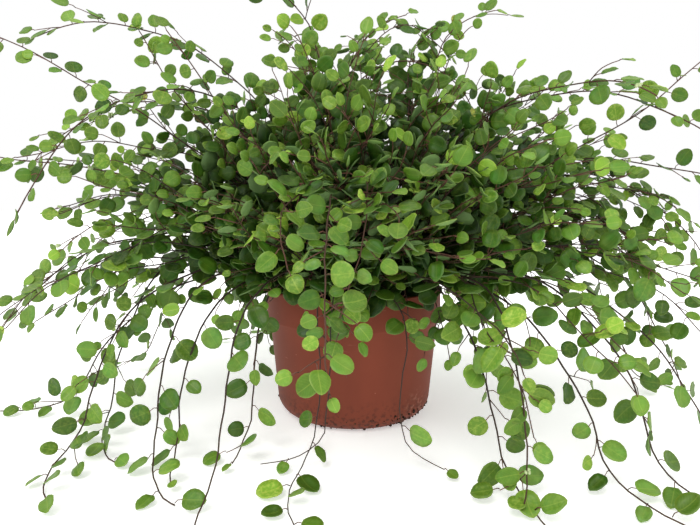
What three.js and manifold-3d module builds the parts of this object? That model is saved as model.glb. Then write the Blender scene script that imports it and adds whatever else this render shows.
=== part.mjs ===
// Potted wire vine: a dense mound of thin wiry stems with small round leaves, rooted in soil in a plain
// nursery pot, with long stems that pass over the rim, arch out and trail down to the surface.
// Millimetres, +Z up. The origin is the centre of the pot's base, and the viewer's side is -Y.
import * as THREE from "three";
import { mergeVertices } from "three/addons/utils/BufferGeometryUtils.js";
import Module from "manifold-3d";

const wasm = await Module();
wasm.setup();

// Pot
const RIM_RADIUS = 75;
const POT_HEIGHT = 110;
const BAND_HEIGHT = 26;
const BAND_STEP = 2;
const BAND_BULGE = 0.6;
const RIM_ROUND = 1;
const SHELF_DROP = 4;
const HEEL_RADIUS = 67;
const CORNER_RADIUS = 16;
const POT_WALL = 2;
const POT_SIDES = 28;
const DRAIN_COUNT = 6;
const DRAIN_RADIUS = 4;
const DRAIN_RING = 34;
const DRAIN_SIDES = 6;

// Soil
const SOIL_TOP = 98;
const SOIL_GAP = 0.4;
const SOIL_LUMP = 1.2;
const SOIL_RINGS = [64, 38, 0];
const SOIL_SIDES = POT_SIDES / 2;
const HOLE_GAP = 0.5;
const HOLE_SIDES = 5;
const FOOT_DEPTH = 10;

// Stems
const STEM_RADIUS = 1.3;
const TRUNK_RADIUS = 2;
const TRUNK_RING = 20;
const TRUNK_SUNK = 8;
const PACE = 4;
const UPRIGHT_LENGTH = 12;
const BEND_LENGTH = 26;
const FLOOR_HEIGHT = 1.9;
const FLOOR_EASE = 26;
const SWAY_YAW = 5;
const SWAY_PITCH = 4;

// Knots along a stem, and the leaves, one between each two knots
const KNOT_SPACING = 48;
const LEAF_LENGTH = 17;
const LEAF_THICKNESS = 0.7;
const STALK_LENGTH = 4;
const STALK_WIDTH = 1.4;
const STALK_SUNK = 0.2;

// Core of the plant: a dome as rough as the packed leaves that it stands for, cut into a wedge for each
// spray, which the spray's stems and leaves stand out of
const CORE_CENTRE = new THREE.Vector3(8, 0, 179);
const CORE_RADII = new THREE.Vector3(132, 124, 84);
const CORE_DETAIL = 5;
const CORE_ROUGHNESS = 0.14;
const CORE_FLOOR = 116;
const CORE_SLIT = 0.6;
const CORNERS_PER_LEAF = 3;
const LEAF_SUNK = 3;
const SHOOT_ROOT = 0.7;

// The sprays round the pot: the name and bearing of each in plan in degrees, and its vines, the long stems
// that pass over the rim. Each vine has its bearing and its rise where it leaves the pot in degrees, its
// droop in 1/mm, the degrees that its tip curls round in plan, its length, and the distance from the pot's
// axis at which it roots.
const SPRAYS = [
  {
    name: "spray_left",
    side: 180,
    vines: [
      { bearing: 168, rise: 42, droop: 0.0065, curl: -20, length: 330, foot: 47 },
      { bearing: 176, rise: 42, droop: 0.014, curl: 150, length: 360, foot: 54 },
      { bearing: 181, rise: 34, droop: 0.0062, curl: 0, length: 330, foot: 56 },
      { bearing: 186, rise: 13, droop: 0.0072, curl: -10, length: 340, foot: 47 },
      { bearing: 192, rise: 24, droop: 0.0098, curl: 110, length: 340, foot: 54 },
    ],
  },
  {
    name: "spray_front_left",
    side: 225,
    vines: [
      { bearing: 207, rise: 30, droop: 0.0142, curl: 120, length: 310, foot: 46 },
      { bearing: 212, rise: 20, droop: 0.017, curl: 80, length: 250, foot: 54 },
      { bearing: 228, rise: 24, droop: 0.04, curl: 30, length: 210, foot: 57 },
      { bearing: 238, rise: 32, droop: 0.015, curl: 40, length: 290, foot: 48 },
    ],
  },
  {
    name: "spray_front",
    side: 270,
    vines: [
      { bearing: 254, rise: 22, droop: 0.04, curl: 20, length: 270, foot: 57 },
      { bearing: 263, rise: 24, droop: 0.036, curl: -85, length: 220, foot: 57 },
      { bearing: 272, rise: 62, droop: 0.012, curl: 20, length: 200, foot: 48 },
      { bearing: 283, rise: 22, droop: 0.032, curl: 50, length: 210, foot: 57 },
    ],
  },
  {
    name: "spray_front_right",
    side: 315,
    vines: [
      { bearing: 303, rise: 24, droop: 0.015, curl: -10, length: 280, foot: 50 },
      { bearing: 313, rise: 28, droop: 0.013, curl: -70, length: 260, foot: 56 },
      { bearing: 322, rise: 18, droop: 0.0095, curl: -30, length: 340, foot: 48 },
      { bearing: 331, rise: 27, droop: 0.0092, curl: -55, length: 360, foot: 56 },
    ],
  },
  {
    name: "spray_right",
    side: 0,
    vines: [
      { bearing: 346, rise: 22, droop: 0.0066, curl: -10, length: 350, foot: 48 },
      { bearing: 356, rise: 38, droop: 0.0085, curl: 10, length: 330, foot: 56 },
      { bearing: 7, rise: 26, droop: 0.0075, curl: 10, length: 340, foot: 48 },
    ],
  },
  {
    name: "spray_back_right",
    side: 45,
    vines: [
      { bearing: 28, rise: 34, droop: 0.0068, curl: 50, length: 300, foot: 47 },
      { bearing: 46, rise: 14, droop: 0.0105, curl: -40, length: 280, foot: 55 },
      { bearing: 61, rise: 36, droop: 0.0072, curl: 15, length: 310, foot: 48 },
    ],
  },
  {
    name: "spray_back",
    side: 90,
    vines: [
      { bearing: 82, rise: 22, droop: 0.011, curl: -45, length: 290, foot: 55 },
      { bearing: 100, rise: 36, droop: 0.007, curl: 20, length: 300, foot: 47 },
    ],
  },
  {
    name: "spray_back_left",
    side: 135,
    vines: [
      { bearing: 125, rise: 22, droop: 0.01, curl: -15, length: 300, foot: 55 },
      { bearing: 138, rise: 36, droop: 0.0068, curl: 45, length: 310, foot: 47 },
      { bearing: 149, rise: 24, droop: 0.009, curl: 30, length: 300, foot: 56 },
    ],
  },
];

// Shoots that grow out of the core: the bearing and height in degrees of their place on it, then as for
// a vine.
const SHOOTS = [
  { side: 195, height: 10, bearing: 195, rise: 38, droop: 0.0012, curl: 0, length: 230 },
  { side: 190, height: 50, bearing: 190, rise: 60, droop: 0.007, curl: -10, length: 240 },
  { side: 176, height: 38, bearing: 184, rise: 50, droop: 0.0085, curl: 0, length: 240 },
  { side: 190, height: 12, bearing: 192, rise: 8, droop: 0, curl: 0, length: 230 },
  { side: 214, height: 42, bearing: 208, rise: 52, droop: 0.0105, curl: 10, length: 250 },
  { side: 186, height: 26, bearing: 196, rise: 30, droop: -0.006, curl: 0, length: 150 },
  { side: 212, height: 30, bearing: 206, rise: 40, droop: -0.004, curl: 0, length: 130 },
  { side: 228, height: 58, bearing: 10, rise: 72, droop: 0.018, curl: 10, length: 210 },
  { side: 184, height: 60, bearing: 8, rise: 66, droop: 0.004, curl: 0, length: 140 },
  { side: 345, height: 15, bearing: 345, rise: 11, droop: -0.0035, curl: 0, length: 200 },
  { side: 330, height: 46, bearing: 340, rise: 44, droop: 0.0075, curl: 0, length: 240 },
  { side: 345, height: 25, bearing: 350, rise: 16, droop: 0.003, curl: 0, length: 250 },
  { side: 355, height: 12, bearing: 355, rise: 29, droop: 0.0074, curl: 0, length: 290 },
];
const SPREAD_SHOOTS = 12;
for (let i = 0; i < SPREAD_SHOOTS; i++) {
  const bearing = 45 * i + (i % 2 ? 9 : -9);
  SHOOTS.push({
    side: bearing,
    height: [12, 38, 64][i % 3],
    bearing,
    rise: [20, 48, 76][i % 3],
    droop: [0.01, 0.008, 0.005][i % 3],
    curl: i % 2 ? -30 : 30,
    length: [200, 180, 140][i % 3],
  });
}

const radians = THREE.MathUtils.degToRad;

// A repeatable draw from 0 to 1 for whole numbers that name what it is drawn for.
function chance(kind, item, draw) {
  const value = Math.sin(kind * 12.9898 + item * 78.233 + draw * 37.719) * 43758.5453;
  return value - Math.floor(value);
}

function solidOf(geometry) {
  const bare = geometry.index ? geometry.toNonIndexed() : geometry.clone();
  bare.deleteAttribute("normal");
  bare.deleteAttribute("uv");
  const merged = mergeVertices(bare, 1e-4);
  return new wasm.Manifold(
    new wasm.Mesh({
      numProp: 3,
      vertProperties: merged.attributes.position.array,
      triVerts: new Uint32Array(merged.index.array),
    }),
  );
}

function meshOf(name, solid, material) {
  const { numProp, vertProperties, triVerts } = solid.getMesh();
  const positions = new Float32Array((vertProperties.length / numProp) * 3);
  for (let i = 0; i * 3 < positions.length; i++) {
    positions.set(vertProperties.subarray(i * numProp, i * numProp + 3), i * 3);
  }
  const geometry = new THREE.BufferGeometry();
  geometry.setAttribute("position", new THREE.BufferAttribute(positions, 3));
  geometry.setIndex(new THREE.BufferAttribute(triVerts, 1));
  geometry.computeVertexNormals();
  const mesh = new THREE.Mesh(geometry, material);
  mesh.name = name;
  return mesh;
}

// A profile of [radius, height] points turned round the Z axis.
function turned(profile, sides) {
  const points = profile.map(([radius, height]) => new THREE.Vector2(radius, height));
  return new THREE.LatheGeometry(points, sides).rotateX(Math.PI / 2);
}

function post(x, y, bottom, top, radius, sides) {
  const shaft = new THREE.CylinderGeometry(radius, radius, top - bottom, sides);
  return solidOf(shaft.rotateX(Math.PI / 2).translate(x, y, (top + bottom) / 2));
}

// The pot's outer wall: flat base, rounded corner, slightly flared side.
const BODY_TOP = POT_HEIGHT - BAND_HEIGHT;
const BODY_RADIUS = RIM_RADIUS - BAND_STEP;

function potCorner(inset, steps) {
  const points = [];
  for (let i = 0; i <= steps; i++) {
    const turn = ((i / steps) * Math.PI) / 2;
    const reach = CORNER_RADIUS - inset;
    points.push([
      HEEL_RADIUS - CORNER_RADIUS + reach * Math.sin(turn),
      CORNER_RADIUS - reach * Math.cos(turn),
    ]);
  }
  return points;
}

function pot() {
  const shell = solidOf(
    turned(
      [
        [0, 0],
        ...potCorner(0, 3),
        [BODY_RADIUS, BODY_TOP],
        [RIM_RADIUS, BODY_TOP],
        [RIM_RADIUS + BAND_BULGE, BODY_TOP + BAND_STEP],
        [RIM_RADIUS, POT_HEIGHT - RIM_ROUND],
        [RIM_RADIUS - RIM_ROUND, POT_HEIGHT],
        [RIM_RADIUS - POT_WALL - BAND_BULGE, POT_HEIGHT],
        [BODY_RADIUS - POT_WALL, BODY_TOP - SHELF_DROP],
        ...potCorner(POT_WALL, 2).reverse(),
        [0, POT_WALL],
      ],
      POT_SIDES,
    ),
  );
  let drained = shell;
  for (let i = 0; i < DRAIN_COUNT; i++) {
    const turn = ((i + 0.5) / DRAIN_COUNT) * 2 * Math.PI;
    const x = DRAIN_RING * Math.cos(turn);
    const y = DRAIN_RING * Math.sin(turn);
    drained = drained.subtract(post(x, y, -1, POT_WALL + 1, DRAIN_RADIUS, DRAIN_SIDES));
  }
  return drained;
}

// Soil that fills the pot, with a lumpy top and a plain hole for each stem that stands in it.
function soil(feet) {
  const inset = POT_WALL + SOIL_GAP;
  const body = turned(
    [
      [0, inset],
      ...potCorner(inset, 1),
      [BODY_RADIUS - inset, BODY_TOP - SHELF_DROP],
      [RIM_RADIUS - inset - 1, SOIL_TOP - 1],
      ...SOIL_RINGS.map((radius) => [radius, SOIL_TOP]),
    ],
    SOIL_SIDES,
  );
  const place = body.attributes.position;
  for (let i = 0; i < place.count; i++) {
    const x = place.getX(i);
    const y = place.getY(i);
    const lump = Math.sin(x / 7 + 1) * Math.cos(y / 9 + 2) * SOIL_LUMP;
    if (place.getZ(i) > SOIL_TOP - 0.5) place.setZ(i, SOIL_TOP + lump);
  }
  let holed = solidOf(body);
  for (const foot of feet) {
    const bottom = SOIL_TOP - FOOT_DEPTH - HOLE_GAP;
    const top = SOIL_TOP + 2 * SOIL_LUMP;
    const hole = post(foot.place.x, foot.place.y, bottom, top, foot.radius + HOLE_GAP, HOLE_SIDES);
    holed = holed.subtract(hole);
  }
  return holed;
}

// The route of a stem: it bends down under its own weight as it goes, sways a little, and eases onto the
// surface where it comes down to it. A rooted stem stands upright in the soil first.
function route(start, stem, key, rooted) {
  const places = [];
  const place = start.clone();
  const swayStart = 2 * Math.PI * chance(key, 1, 0);
  let lean = radians(stem.rise);
  for (let walked = 0; walked <= stem.length; walked += PACE) {
    places.push(place.clone());
    let pitch = lean;
    if (rooted && walked < UPRIGHT_LENGTH + BEND_LENGTH) {
      const share = THREE.MathUtils.smoothstep(walked, UPRIGHT_LENGTH, UPRIGHT_LENGTH + BEND_LENGTH);
      pitch = Math.PI / 2 + (lean - Math.PI / 2) * share;
    } else {
      lean -= stem.droop * Math.cos(lean) * PACE;
      pitch = lean;
    }
    const sway = THREE.MathUtils.clamp((walked - 30) / 60, 0, 1);
    const curl = radians(stem.curl) * (walked / stem.length) ** 2;
    const yaw = radians(stem.bearing) + curl + radians(SWAY_YAW) * sway * Math.sin(walked / 17 + swayStart);
    pitch += radians(SWAY_PITCH) * sway * Math.sin(walked / 13 + 2 * swayStart);
    const lowest = -Math.asin(THREE.MathUtils.clamp((place.z - FLOOR_HEIGHT) / FLOOR_EASE, 0, 1));
    if (pitch < lowest) {
      pitch = lowest;
      lean = Math.max(lean, lowest);
    }
    place.x += PACE * Math.cos(pitch) * Math.cos(yaw);
    place.y += PACE * Math.cos(pitch) * Math.sin(yaw);
    place.z += PACE * Math.sin(pitch);
  }
  return places;
}

// A point of a route at a distance along it.
function along(places, distance) {
  const count = THREE.MathUtils.clamp(distance / PACE, 0, places.length - 1);
  const before = Math.min(Math.floor(count), places.length - 2);
  return places[before].clone().lerp(places[before + 1], count - before);
}

// A curve whose extrusion steps fall on its own knots.
class KnotCurve extends THREE.CatmullRomCurve3 {
  getUtoTmapping(share) {
    return share;
  }
}

function tube(knots, radius) {
  const section = new THREE.Shape();
  for (let i = 0; i < 3; i++) {
    const turn = (i / 3) * 2 * Math.PI;
    section[i ? "lineTo" : "moveTo"](radius * Math.cos(turn), radius * Math.sin(turn));
  }
  const options = { steps: knots.length - 1, extrudePath: new KnotCurve(knots) };
  return solidOf(new THREE.ExtrudeGeometry(section, options));
}

// Distances of the knots along a stem: close together where it rises and bends, then even.
function knotDistances(stem, first) {
  const distances = first.slice();
  const last = first[first.length - 1];
  for (let d = last + KNOT_SPACING; d <= stem.length; d += KNOT_SPACING) distances.push(d);
  return distances;
}

const VINE_FIRST_KNOTS = [0, 14, 23, 34, 48];
const SHOOT_FIRST_KNOTS = [0, 24];

// A flat leaf with its stalk, in the XY plane: the stalk's root is sunk behind the origin, and the tip is
// along +X.
function leafOutline(length) {
  const width = length * 0.92;
  const outline = new THREE.Shape();
  outline.moveTo(-STALK_SUNK, 0);
  outline.lineTo(STALK_LENGTH, -STALK_WIDTH / 2);
  outline.lineTo(STALK_LENGTH + 0.36 * length, -width / 2);
  outline.lineTo(STALK_LENGTH + 0.9 * length, -width * 0.28);
  outline.lineTo(STALK_LENGTH + 0.9 * length, width * 0.28);
  outline.lineTo(STALK_LENGTH + 0.36 * length, width / 2);
  outline.lineTo(STALK_LENGTH, STALK_WIDTH / 2);
  return outline;
}

// A leaf frame on a stem: leaves face up and away from the heart of the plant, and sit by turns on one and
// the other side.
const HEART = new THREE.Vector3(10, 0, 120);
const UP = new THREE.Vector3(0, 0, 1);

function leafOnStem(root, tangent, key, item) {
  const away = root.clone().sub(HEART).setZ(0).normalize();
  const face = UP.clone().addScaledVector(away, 0.75);
  face.addScaledVector(tangent, -face.dot(tangent));
  if (face.length() < 0.2) face.copy(away);
  face.normalize().applyAxisAngle(tangent, radians(80) * (chance(key, item, 1) - 0.5));
  const reach = tangent.clone().cross(face).multiplyScalar(item % 2 ? 1 : -1);
  reach.addScaledVector(tangent, 0.3 + 0.4 * chance(key, item, 2)).addScaledVector(face, 0.2);
  return { reach: reach.normalize(), face };
}

// A leaf frame on the core: the leaf stands out of it.
function leafOnCore(outward, key, item) {
  const round = new THREE.Vector3(-outward.y, outward.x, 0).normalize();
  const reach = outward.clone().addScaledVector(round, 1.4 * (chance(key, item, 1) - 0.5));
  reach.addScaledVector(UP, 0.5 * chance(key, item, 2)).normalize();
  const face = UP.clone().addScaledVector(outward, 0.3);
  return { reach, face };
}

function leaf(root, frame, key, item, share) {
  const length = LEAF_LENGTH * (0.78 + 0.3 * chance(key, item, 4)) * (share > 0.85 ? 0.75 : 1);
  const reach = frame.reach.clone();
  const face = frame.face.clone().addScaledVector(reach, -frame.face.dot(reach)).normalize();
  face.applyAxisAngle(reach, radians(70) * (chance(key, item, 3) - 0.5));
  const span = new THREE.Vector3().crossVectors(face, reach);
  const low = root.z + reach.z * (STALK_LENGTH + length) - (Math.abs(span.z) * length) / 2;
  if (low < FLOOR_HEIGHT && root.z < 30) {
    reach.setZ(Math.max(reach.z, 0.08)).normalize();
    face.copy(UP).addScaledVector(reach, -reach.z).normalize();
    span.crossVectors(face, reach);
  }
  const blade = new THREE.ExtrudeGeometry(leafOutline(length), {
    depth: LEAF_THICKNESS,
    bevelEnabled: false,
  });
  blade.translate(0, 0, -LEAF_THICKNESS / 2);
  blade.applyMatrix4(new THREE.Matrix4().makeBasis(reach, span, face).setPosition(root));
  return solidOf(blade);
}

// How deep a place lies in the core: 0 at the centre and 1 on the surface.
function depthOf(place) {
  return place.clone().sub(CORE_CENTRE).divide(CORE_RADII).length();
}

// Leaves stand at the middle of each stretch between two knots, except inside the core.
function leavesOf(knots, key, first) {
  const leaves = [];
  for (let i = first; i + 1 < knots.length; i++) {
    const tangent = knots[i + 1].clone().sub(knots[i]).normalize();
    const root = knots[i].clone().lerp(knots[i + 1], 0.5);
    if (depthOf(root) < 1) continue;
    leaves.push(leaf(root, leafOnStem(root, tangent, key, i), key, i, i / (knots.length - 2)));
  }
  return leaves;
}

// The place in or on the core in a direction from its centre, at a share of its depth.
function inCore(direction, depth) {
  return direction.clone().multiplyScalar(depth).multiply(CORE_RADII).add(CORE_CENTRE);
}

function towards(side, height) {
  const level = Math.cos(radians(height));
  return new THREE.Vector3(
    level * Math.cos(radians(side)),
    level * Math.sin(radians(side)),
    Math.sin(radians(height)),
  );
}

// The core's rough dome, each corner of it in or out by chance, and a leaf on every so many corners.
function domeAndLeaves() {
  const ball = new THREE.IcosahedronGeometry(1, CORE_DETAIL);
  ball.deleteAttribute("normal");
  ball.deleteAttribute("uv");
  const dome = mergeVertices(ball, 1e-4);
  const place = dome.attributes.position;
  const leaves = [];
  for (let i = 0; i < place.count; i++) {
    const direction = new THREE.Vector3().fromBufferAttribute(place, i);
    const corner = inCore(direction, 1 - CORE_ROUGHNESS * chance(i, 0, 0));
    place.setXYZ(i, corner.x, corner.y, corner.z);
    if (i % CORNERS_PER_LEAF || corner.z < CORE_FLOOR + 5) continue;
    const outward = direction.divide(CORE_RADII).normalize();
    const root = corner.addScaledVector(outward, -LEAF_SUNK);
    leaves.push({ root, blade: leaf(root, leafOnCore(outward, 300, i), 300, i, 0.5) });
  }
  return { dome: solidOf(dome), leaves };
}

// The sprays part the plan evenly: the one that a bearing falls to.
const SECTOR = 360 / SPRAYS.length;
function sprayAt(bearing) {
  return SPRAYS.find(({ side }) => Math.cos(radians(bearing - side)) > Math.cos(radians(SECTOR / 2)));
}

// A wedge of the plan round a bearing, half a slit clear of its neighbours, from the core's floor up.
function sector(side) {
  const inset = CORE_SLIT / 2 / Math.sin(radians(SECTOR / 2));
  const reach = 2 * CORE_RADII.x;
  const plan = new THREE.Shape();
  plan.moveTo(inset, 0);
  for (const edge of [-SECTOR / 2, SECTOR / 2]) {
    plan.lineTo(inset + reach * Math.cos(radians(edge)), reach * Math.sin(radians(edge)));
  }
  const wedge = new THREE.ExtrudeGeometry(plan, { depth: 2 * CORE_RADII.z, bevelEnabled: false });
  return solidOf(wedge.translate(0, 0, CORE_FLOOR).rotateZ(radians(side)));
}

function footOf(bearing, ring) {
  const turn = radians(bearing);
  return new THREE.Vector3(ring * Math.cos(turn), ring * Math.sin(turn), SOIL_TOP - FOOT_DEPTH);
}

// A spray is its wedge of the core and its stems joined in one solid, and the leaves that may be left off.
function sprayNode(spray, index, dome, domeLeaves) {
  let stems = dome.intersect(sector(spray.side));
  const leaves = domeLeaves
    .filter(({ root }) => sprayAt(THREE.MathUtils.radToDeg(Math.atan2(root.y, root.x))) === spray)
    .map(({ blade }) => blade);
  const foot = footOf(spray.side, TRUNK_RING);
  const head = foot.clone().setZ(CORE_FLOOR + TRUNK_SUNK);
  stems = stems.add(tube([foot, foot.clone().lerp(head, 0.5), head], TRUNK_RADIUS));
  spray.vines.forEach((vine, i) => {
    const key = 10 * index + i;
    const places = route(footOf(vine.bearing, vine.foot), vine, key, true);
    const knots = knotDistances(vine, VINE_FIRST_KNOTS).map((distance) => along(places, distance));
    stems = stems.add(tube(knots, STEM_RADIUS));
    leaves.push(...leavesOf(knots, key, 2));
  });
  SHOOTS.forEach((shoot, i) => {
    if (sprayAt(shoot.side) !== spray) return;
    const key = 100 + i;
    const places = route(inCore(towards(shoot.side, shoot.height), SHOOT_ROOT), shoot, key, false);
    const knots = knotDistances(shoot, SHOOT_FIRST_KNOTS).map((distance) => along(places, distance));
    stems = stems.add(tube(knots, STEM_RADIUS));
    leaves.push(...leavesOf(knots, key, 0));
  });
  return { name: spray.name, stems, leaves };
}

function boxesMeet(a, b) {
  return [0, 1, 2].every((axis) => a.min[axis] <= b.max[axis] && b.min[axis] <= a.max[axis]);
}

function touches(solid, others) {
  const box = solid.boundingBox();
  return others.some((other) => boxesMeet(box, other.box) && solid.intersect(other.solid).volume() > 0);
}

// Joins to each plant node the leaves that clear all other nodes and all leaves joined before.
function leafOut(nodes, firm) {
  const stemBlocks = nodes.map((node) => ({ solid: node.stems, box: node.stems.boundingBox() }));
  const joined = [];
  nodes.forEach((node, i) => {
    const blocks = [...firm, ...stemBlocks.filter((block, j) => j !== i)];
    for (const blade of node.leaves) {
      if (touches(blade, blocks) || touches(blade, joined)) continue;
      joined.push({ solid: blade, box: blade.boundingBox() });
      node.stems = node.stems.add(blade);
    }
  });
}

const finish = (color, roughness) => new THREE.MeshStandardMaterial({ color, roughness, metalness: 0 });
const potSolid = pot();
const soilSolid = soil([
  ...SPRAYS.map((spray) => ({ place: footOf(spray.side, TRUNK_RING), radius: TRUNK_RADIUS })),
  ...SPRAYS.flatMap((spray) => spray.vines).map((vine) => ({
    place: footOf(vine.bearing, vine.foot),
    radius: STEM_RADIUS,
  })),
]);
const { dome, leaves: domeLeaves } = domeAndLeaves();
const plant = SPRAYS.map((spray, i) => sprayNode(spray, i, dome, domeLeaves));
leafOut(
  plant,
  [potSolid, soilSolid].map((solid) => ({ solid, box: solid.boundingBox() })),
);

const pottedVine = new THREE.Group();
pottedVine.add(meshOf("pot", potSolid, finish("#7b4331", 0.55)));
pottedVine.add(meshOf("soil", soilSolid, finish("#2b211b", 0.95)));
plant.forEach((node, i) => {
  const green = new THREE.Color("#5f8a34").offsetHSL(0, 0, 0.02 * Math.sin(i));
  pottedVine.add(meshOf(node.name, node.stems, finish(green, 0.5)));
});

export default pottedVine;
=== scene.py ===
"""Potted wire vine: a dense mound of wiry stems with small round leaves, in its terracotta-brown nursery
pot, with long stems that arch out over the rim and trail down to the surface.

Lengths are worked out in millimetres and turned to metres by MM where a mesh is made. Angles are in
degrees. A bearing is an angle round the pot, 0 to its right and 270 to its front.
"""
import math
from dataclasses import dataclass
from functools import cache

import bpy
import numpy as np
from mathutils import Matrix, Vector, noise


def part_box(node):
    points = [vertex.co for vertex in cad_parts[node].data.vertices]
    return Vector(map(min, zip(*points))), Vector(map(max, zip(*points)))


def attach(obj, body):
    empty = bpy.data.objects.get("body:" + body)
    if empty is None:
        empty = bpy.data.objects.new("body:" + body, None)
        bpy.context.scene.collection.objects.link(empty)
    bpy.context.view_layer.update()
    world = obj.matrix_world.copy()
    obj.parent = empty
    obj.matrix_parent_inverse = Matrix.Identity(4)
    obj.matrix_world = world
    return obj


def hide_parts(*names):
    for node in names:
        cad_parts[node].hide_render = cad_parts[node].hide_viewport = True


bl_info = {
    "name": "Potted wire vine",
    "version": (1, 0, 0),
    "blender": (4, 5, 0),
    "location": "3D View > Sidebar > Wire vine",
    "description": "Makes a wire vine in its nursery pot: pot, soil, stems, leaves, buds and stage",
    "category": "Add Mesh",
}

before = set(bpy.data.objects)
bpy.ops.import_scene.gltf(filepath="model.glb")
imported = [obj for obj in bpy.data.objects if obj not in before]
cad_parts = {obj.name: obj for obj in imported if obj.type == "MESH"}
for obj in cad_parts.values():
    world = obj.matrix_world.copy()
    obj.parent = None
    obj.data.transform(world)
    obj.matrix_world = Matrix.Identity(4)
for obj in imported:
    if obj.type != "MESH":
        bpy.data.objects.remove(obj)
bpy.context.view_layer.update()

MM = 0.001
UP = Vector((0, 0, 1))

# The pot: its height and the radius of its band, from the frame, then the rest of its profile and its holes.
POT_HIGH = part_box("pot")[1]
POT_HEIGHT = POT_HIGH[2] / MM
BAND_RADIUS = POT_HIGH[0] / MM
POT_WALL = 2
POT_SIDES = 96
POT_SMOOTH = 35
CORNER_RADIUS = 16
CORNER_CENTRE = (51, CORNER_RADIUS)
BAND_HEIGHT = 26
BAND_STEP = 2.6
BAND_BULGE = 0.6
RIM_ROUND = 1
LIP_ROUND = 0.6
SOFT_EDGE = 0.4
SHELF_DROP = 4
RECESS_RADIUS = 31
RECESS_SLOPE = 3
RECESS_DEPTH = 0.6
DRAIN_COUNT = 6
DRAIN_RADIUS = 4
DRAIN_RING = 34
DRAIN_DEPTH = 12
DRAIN_SIDES = 20
RUBBED_CORNER = Vector((51, -43, 16))

# The potting mix, and the two sizes of lumps of its surface: their height and their width.
SOIL_TOP = 98
SOIL_GAP = 2.4
SOIL_SIDES = 72
SOIL_SMOOTH = 50
SOIL_SHOULDER = [(70.6, 80), (71.6, SOIL_TOP - 1)]
SOIL_RINGS = (70.5, 67, 62, 56, 49, 42, 35, 28, 21, 14, 7)
COARSE_LUMPS = (1.6, 9)
FINE_LUMPS = (0.9, 3.5)

# Its loose crumbs, and those that cling to the pot's lower corner: the sectors that they lie in by turns, and
# how far round the corner they reach.
CRUMB_COUNT = 420
CRUMB_RING = 69
CRUMB_SIZES = (1.2, 4.5)
CLINGING_COUNT = 260
CLINGING_SECTORS = [(0, 360), (240, 300), (295, 345), (295, 345)]
CLINGING_LIFT = 78
CLINGING_SIZES = (0.6, 3.6)

# The long stems of each spray, as the solids have them: the bearing of the spray round the pot, and for
# each vine its bearing and rise at the rim, droop in 1/mm, the degrees that its tip curls round in plan, its
# length, and how far from the pot's axis it roots.
SPRAYS = {
    "left": (180, [
        (168, 42, 0.0065, -20, 330, 47),
        (176, 42, 0.014, 150, 360, 54),
        (181, 34, 0.0062, 0, 330, 56),
        (186, 13, 0.0072, -10, 340, 47),
        (192, 24, 0.0098, 110, 340, 54),
    ]),
    "front_left": (225, [
        (207, 30, 0.0142, 120, 310, 46),
        (212, 20, 0.017, 80, 250, 54),
        (228, 24, 0.04, 30, 210, 57),
        (238, 32, 0.015, 40, 290, 48),
    ]),
    "front": (270, [
        (254, 22, 0.04, 20, 270, 57),
        (263, 24, 0.036, -85, 220, 57),
        (272, 62, 0.012, 20, 200, 48),
        (283, 22, 0.032, 50, 210, 57),
    ]),
    "front_right": (315, [
        (303, 24, 0.015, -10, 280, 50),
        (313, 28, 0.013, -70, 260, 56),
        (322, 18, 0.0095, -30, 340, 48),
        (331, 27, 0.0092, -55, 360, 56),
    ]),
    "right": (0, [
        (346, 22, 0.0066, -10, 350, 48),
        (356, 38, 0.0085, 10, 330, 56),
        (7, 26, 0.0075, 10, 340, 48),
    ]),
    "back_right": (45, [
        (28, 34, 0.0068, 50, 300, 47),
        (46, 14, 0.0105, -40, 280, 55),
        (61, 36, 0.0072, 15, 310, 48),
    ]),
    "back": (90, [
        (82, 22, 0.011, -45, 290, 55),
        (100, 36, 0.007, 20, 300, 47),
    ]),
    "back_left": (135, [
        (125, 22, 0.01, -15, 300, 55),
        (138, 36, 0.0068, 45, 310, 47),
        (149, 24, 0.009, 30, 300, 56),
    ]),
}

# The shoots that stand out of the mound: bearing and height of their place on it, then as a vine.
SHOOTS = [
    (195, 10, 195, 38, 0.0012, 0, 230),
    (190, 50, 190, 60, 0.007, -10, 240),
    (176, 38, 184, 50, 0.0085, 0, 240),
    (190, 12, 192, 8, 0, 0, 230),
    (214, 42, 208, 52, 0.0105, 10, 250),
    (186, 26, 196, 30, -0.006, 0, 150),
    (212, 30, 206, 40, -0.004, 0, 130),
    (228, 58, 10, 72, 0.018, 10, 210),
    (184, 60, 8, 66, 0.004, 0, 140),
    (345, 15, 345, 11, -0.0035, 0, 200),
    (330, 46, 340, 44, 0.0075, 0, 240),
    (345, 25, 350, 16, 0.003, 0, 250),
    (355, 12, 355, 29, 0.0074, 0, 290),
]

# The sectors of bearings: a spray's width, the open front that few leaves cover, where vines trail down, are
# airy or have none beside them, where rim stems are short, and where the shoots already stand close.
SPRAY_WIDTH = 45
OPEN_FRONT = (240, 300)
TRAILING_SECTOR = (200, 340)
AIRY_SECTOR = (200, 250)
BARE_SECTOR = (200, 300)
SHORT_RIM_SECTOR = (165, 300)
CROWDED_SECTORS = [(170, 230), (320, 350)]
CROWDED_HEIGHTS = (20, 55)

# More shoots all round, by turns low, middling and high: height of their place, rise, droop and length.
SPREAD_SHOOTS = 12
SPREAD_LEVELS = [(12, 20, 0.01, 200), (38, 48, 0.008, 180), (64, 76, 0.005, 140)]
SPREAD_SHIFT = 9
SPREAD_CURL = 30

# The mound, as an ellipsoid, and the heart that its leaves face away from.
MOUND_CENTRE = Vector((8, 0, 179))
MOUND_RADII = Vector((132, 124, 84))
HEART = Vector((10, 0, 120))

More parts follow.
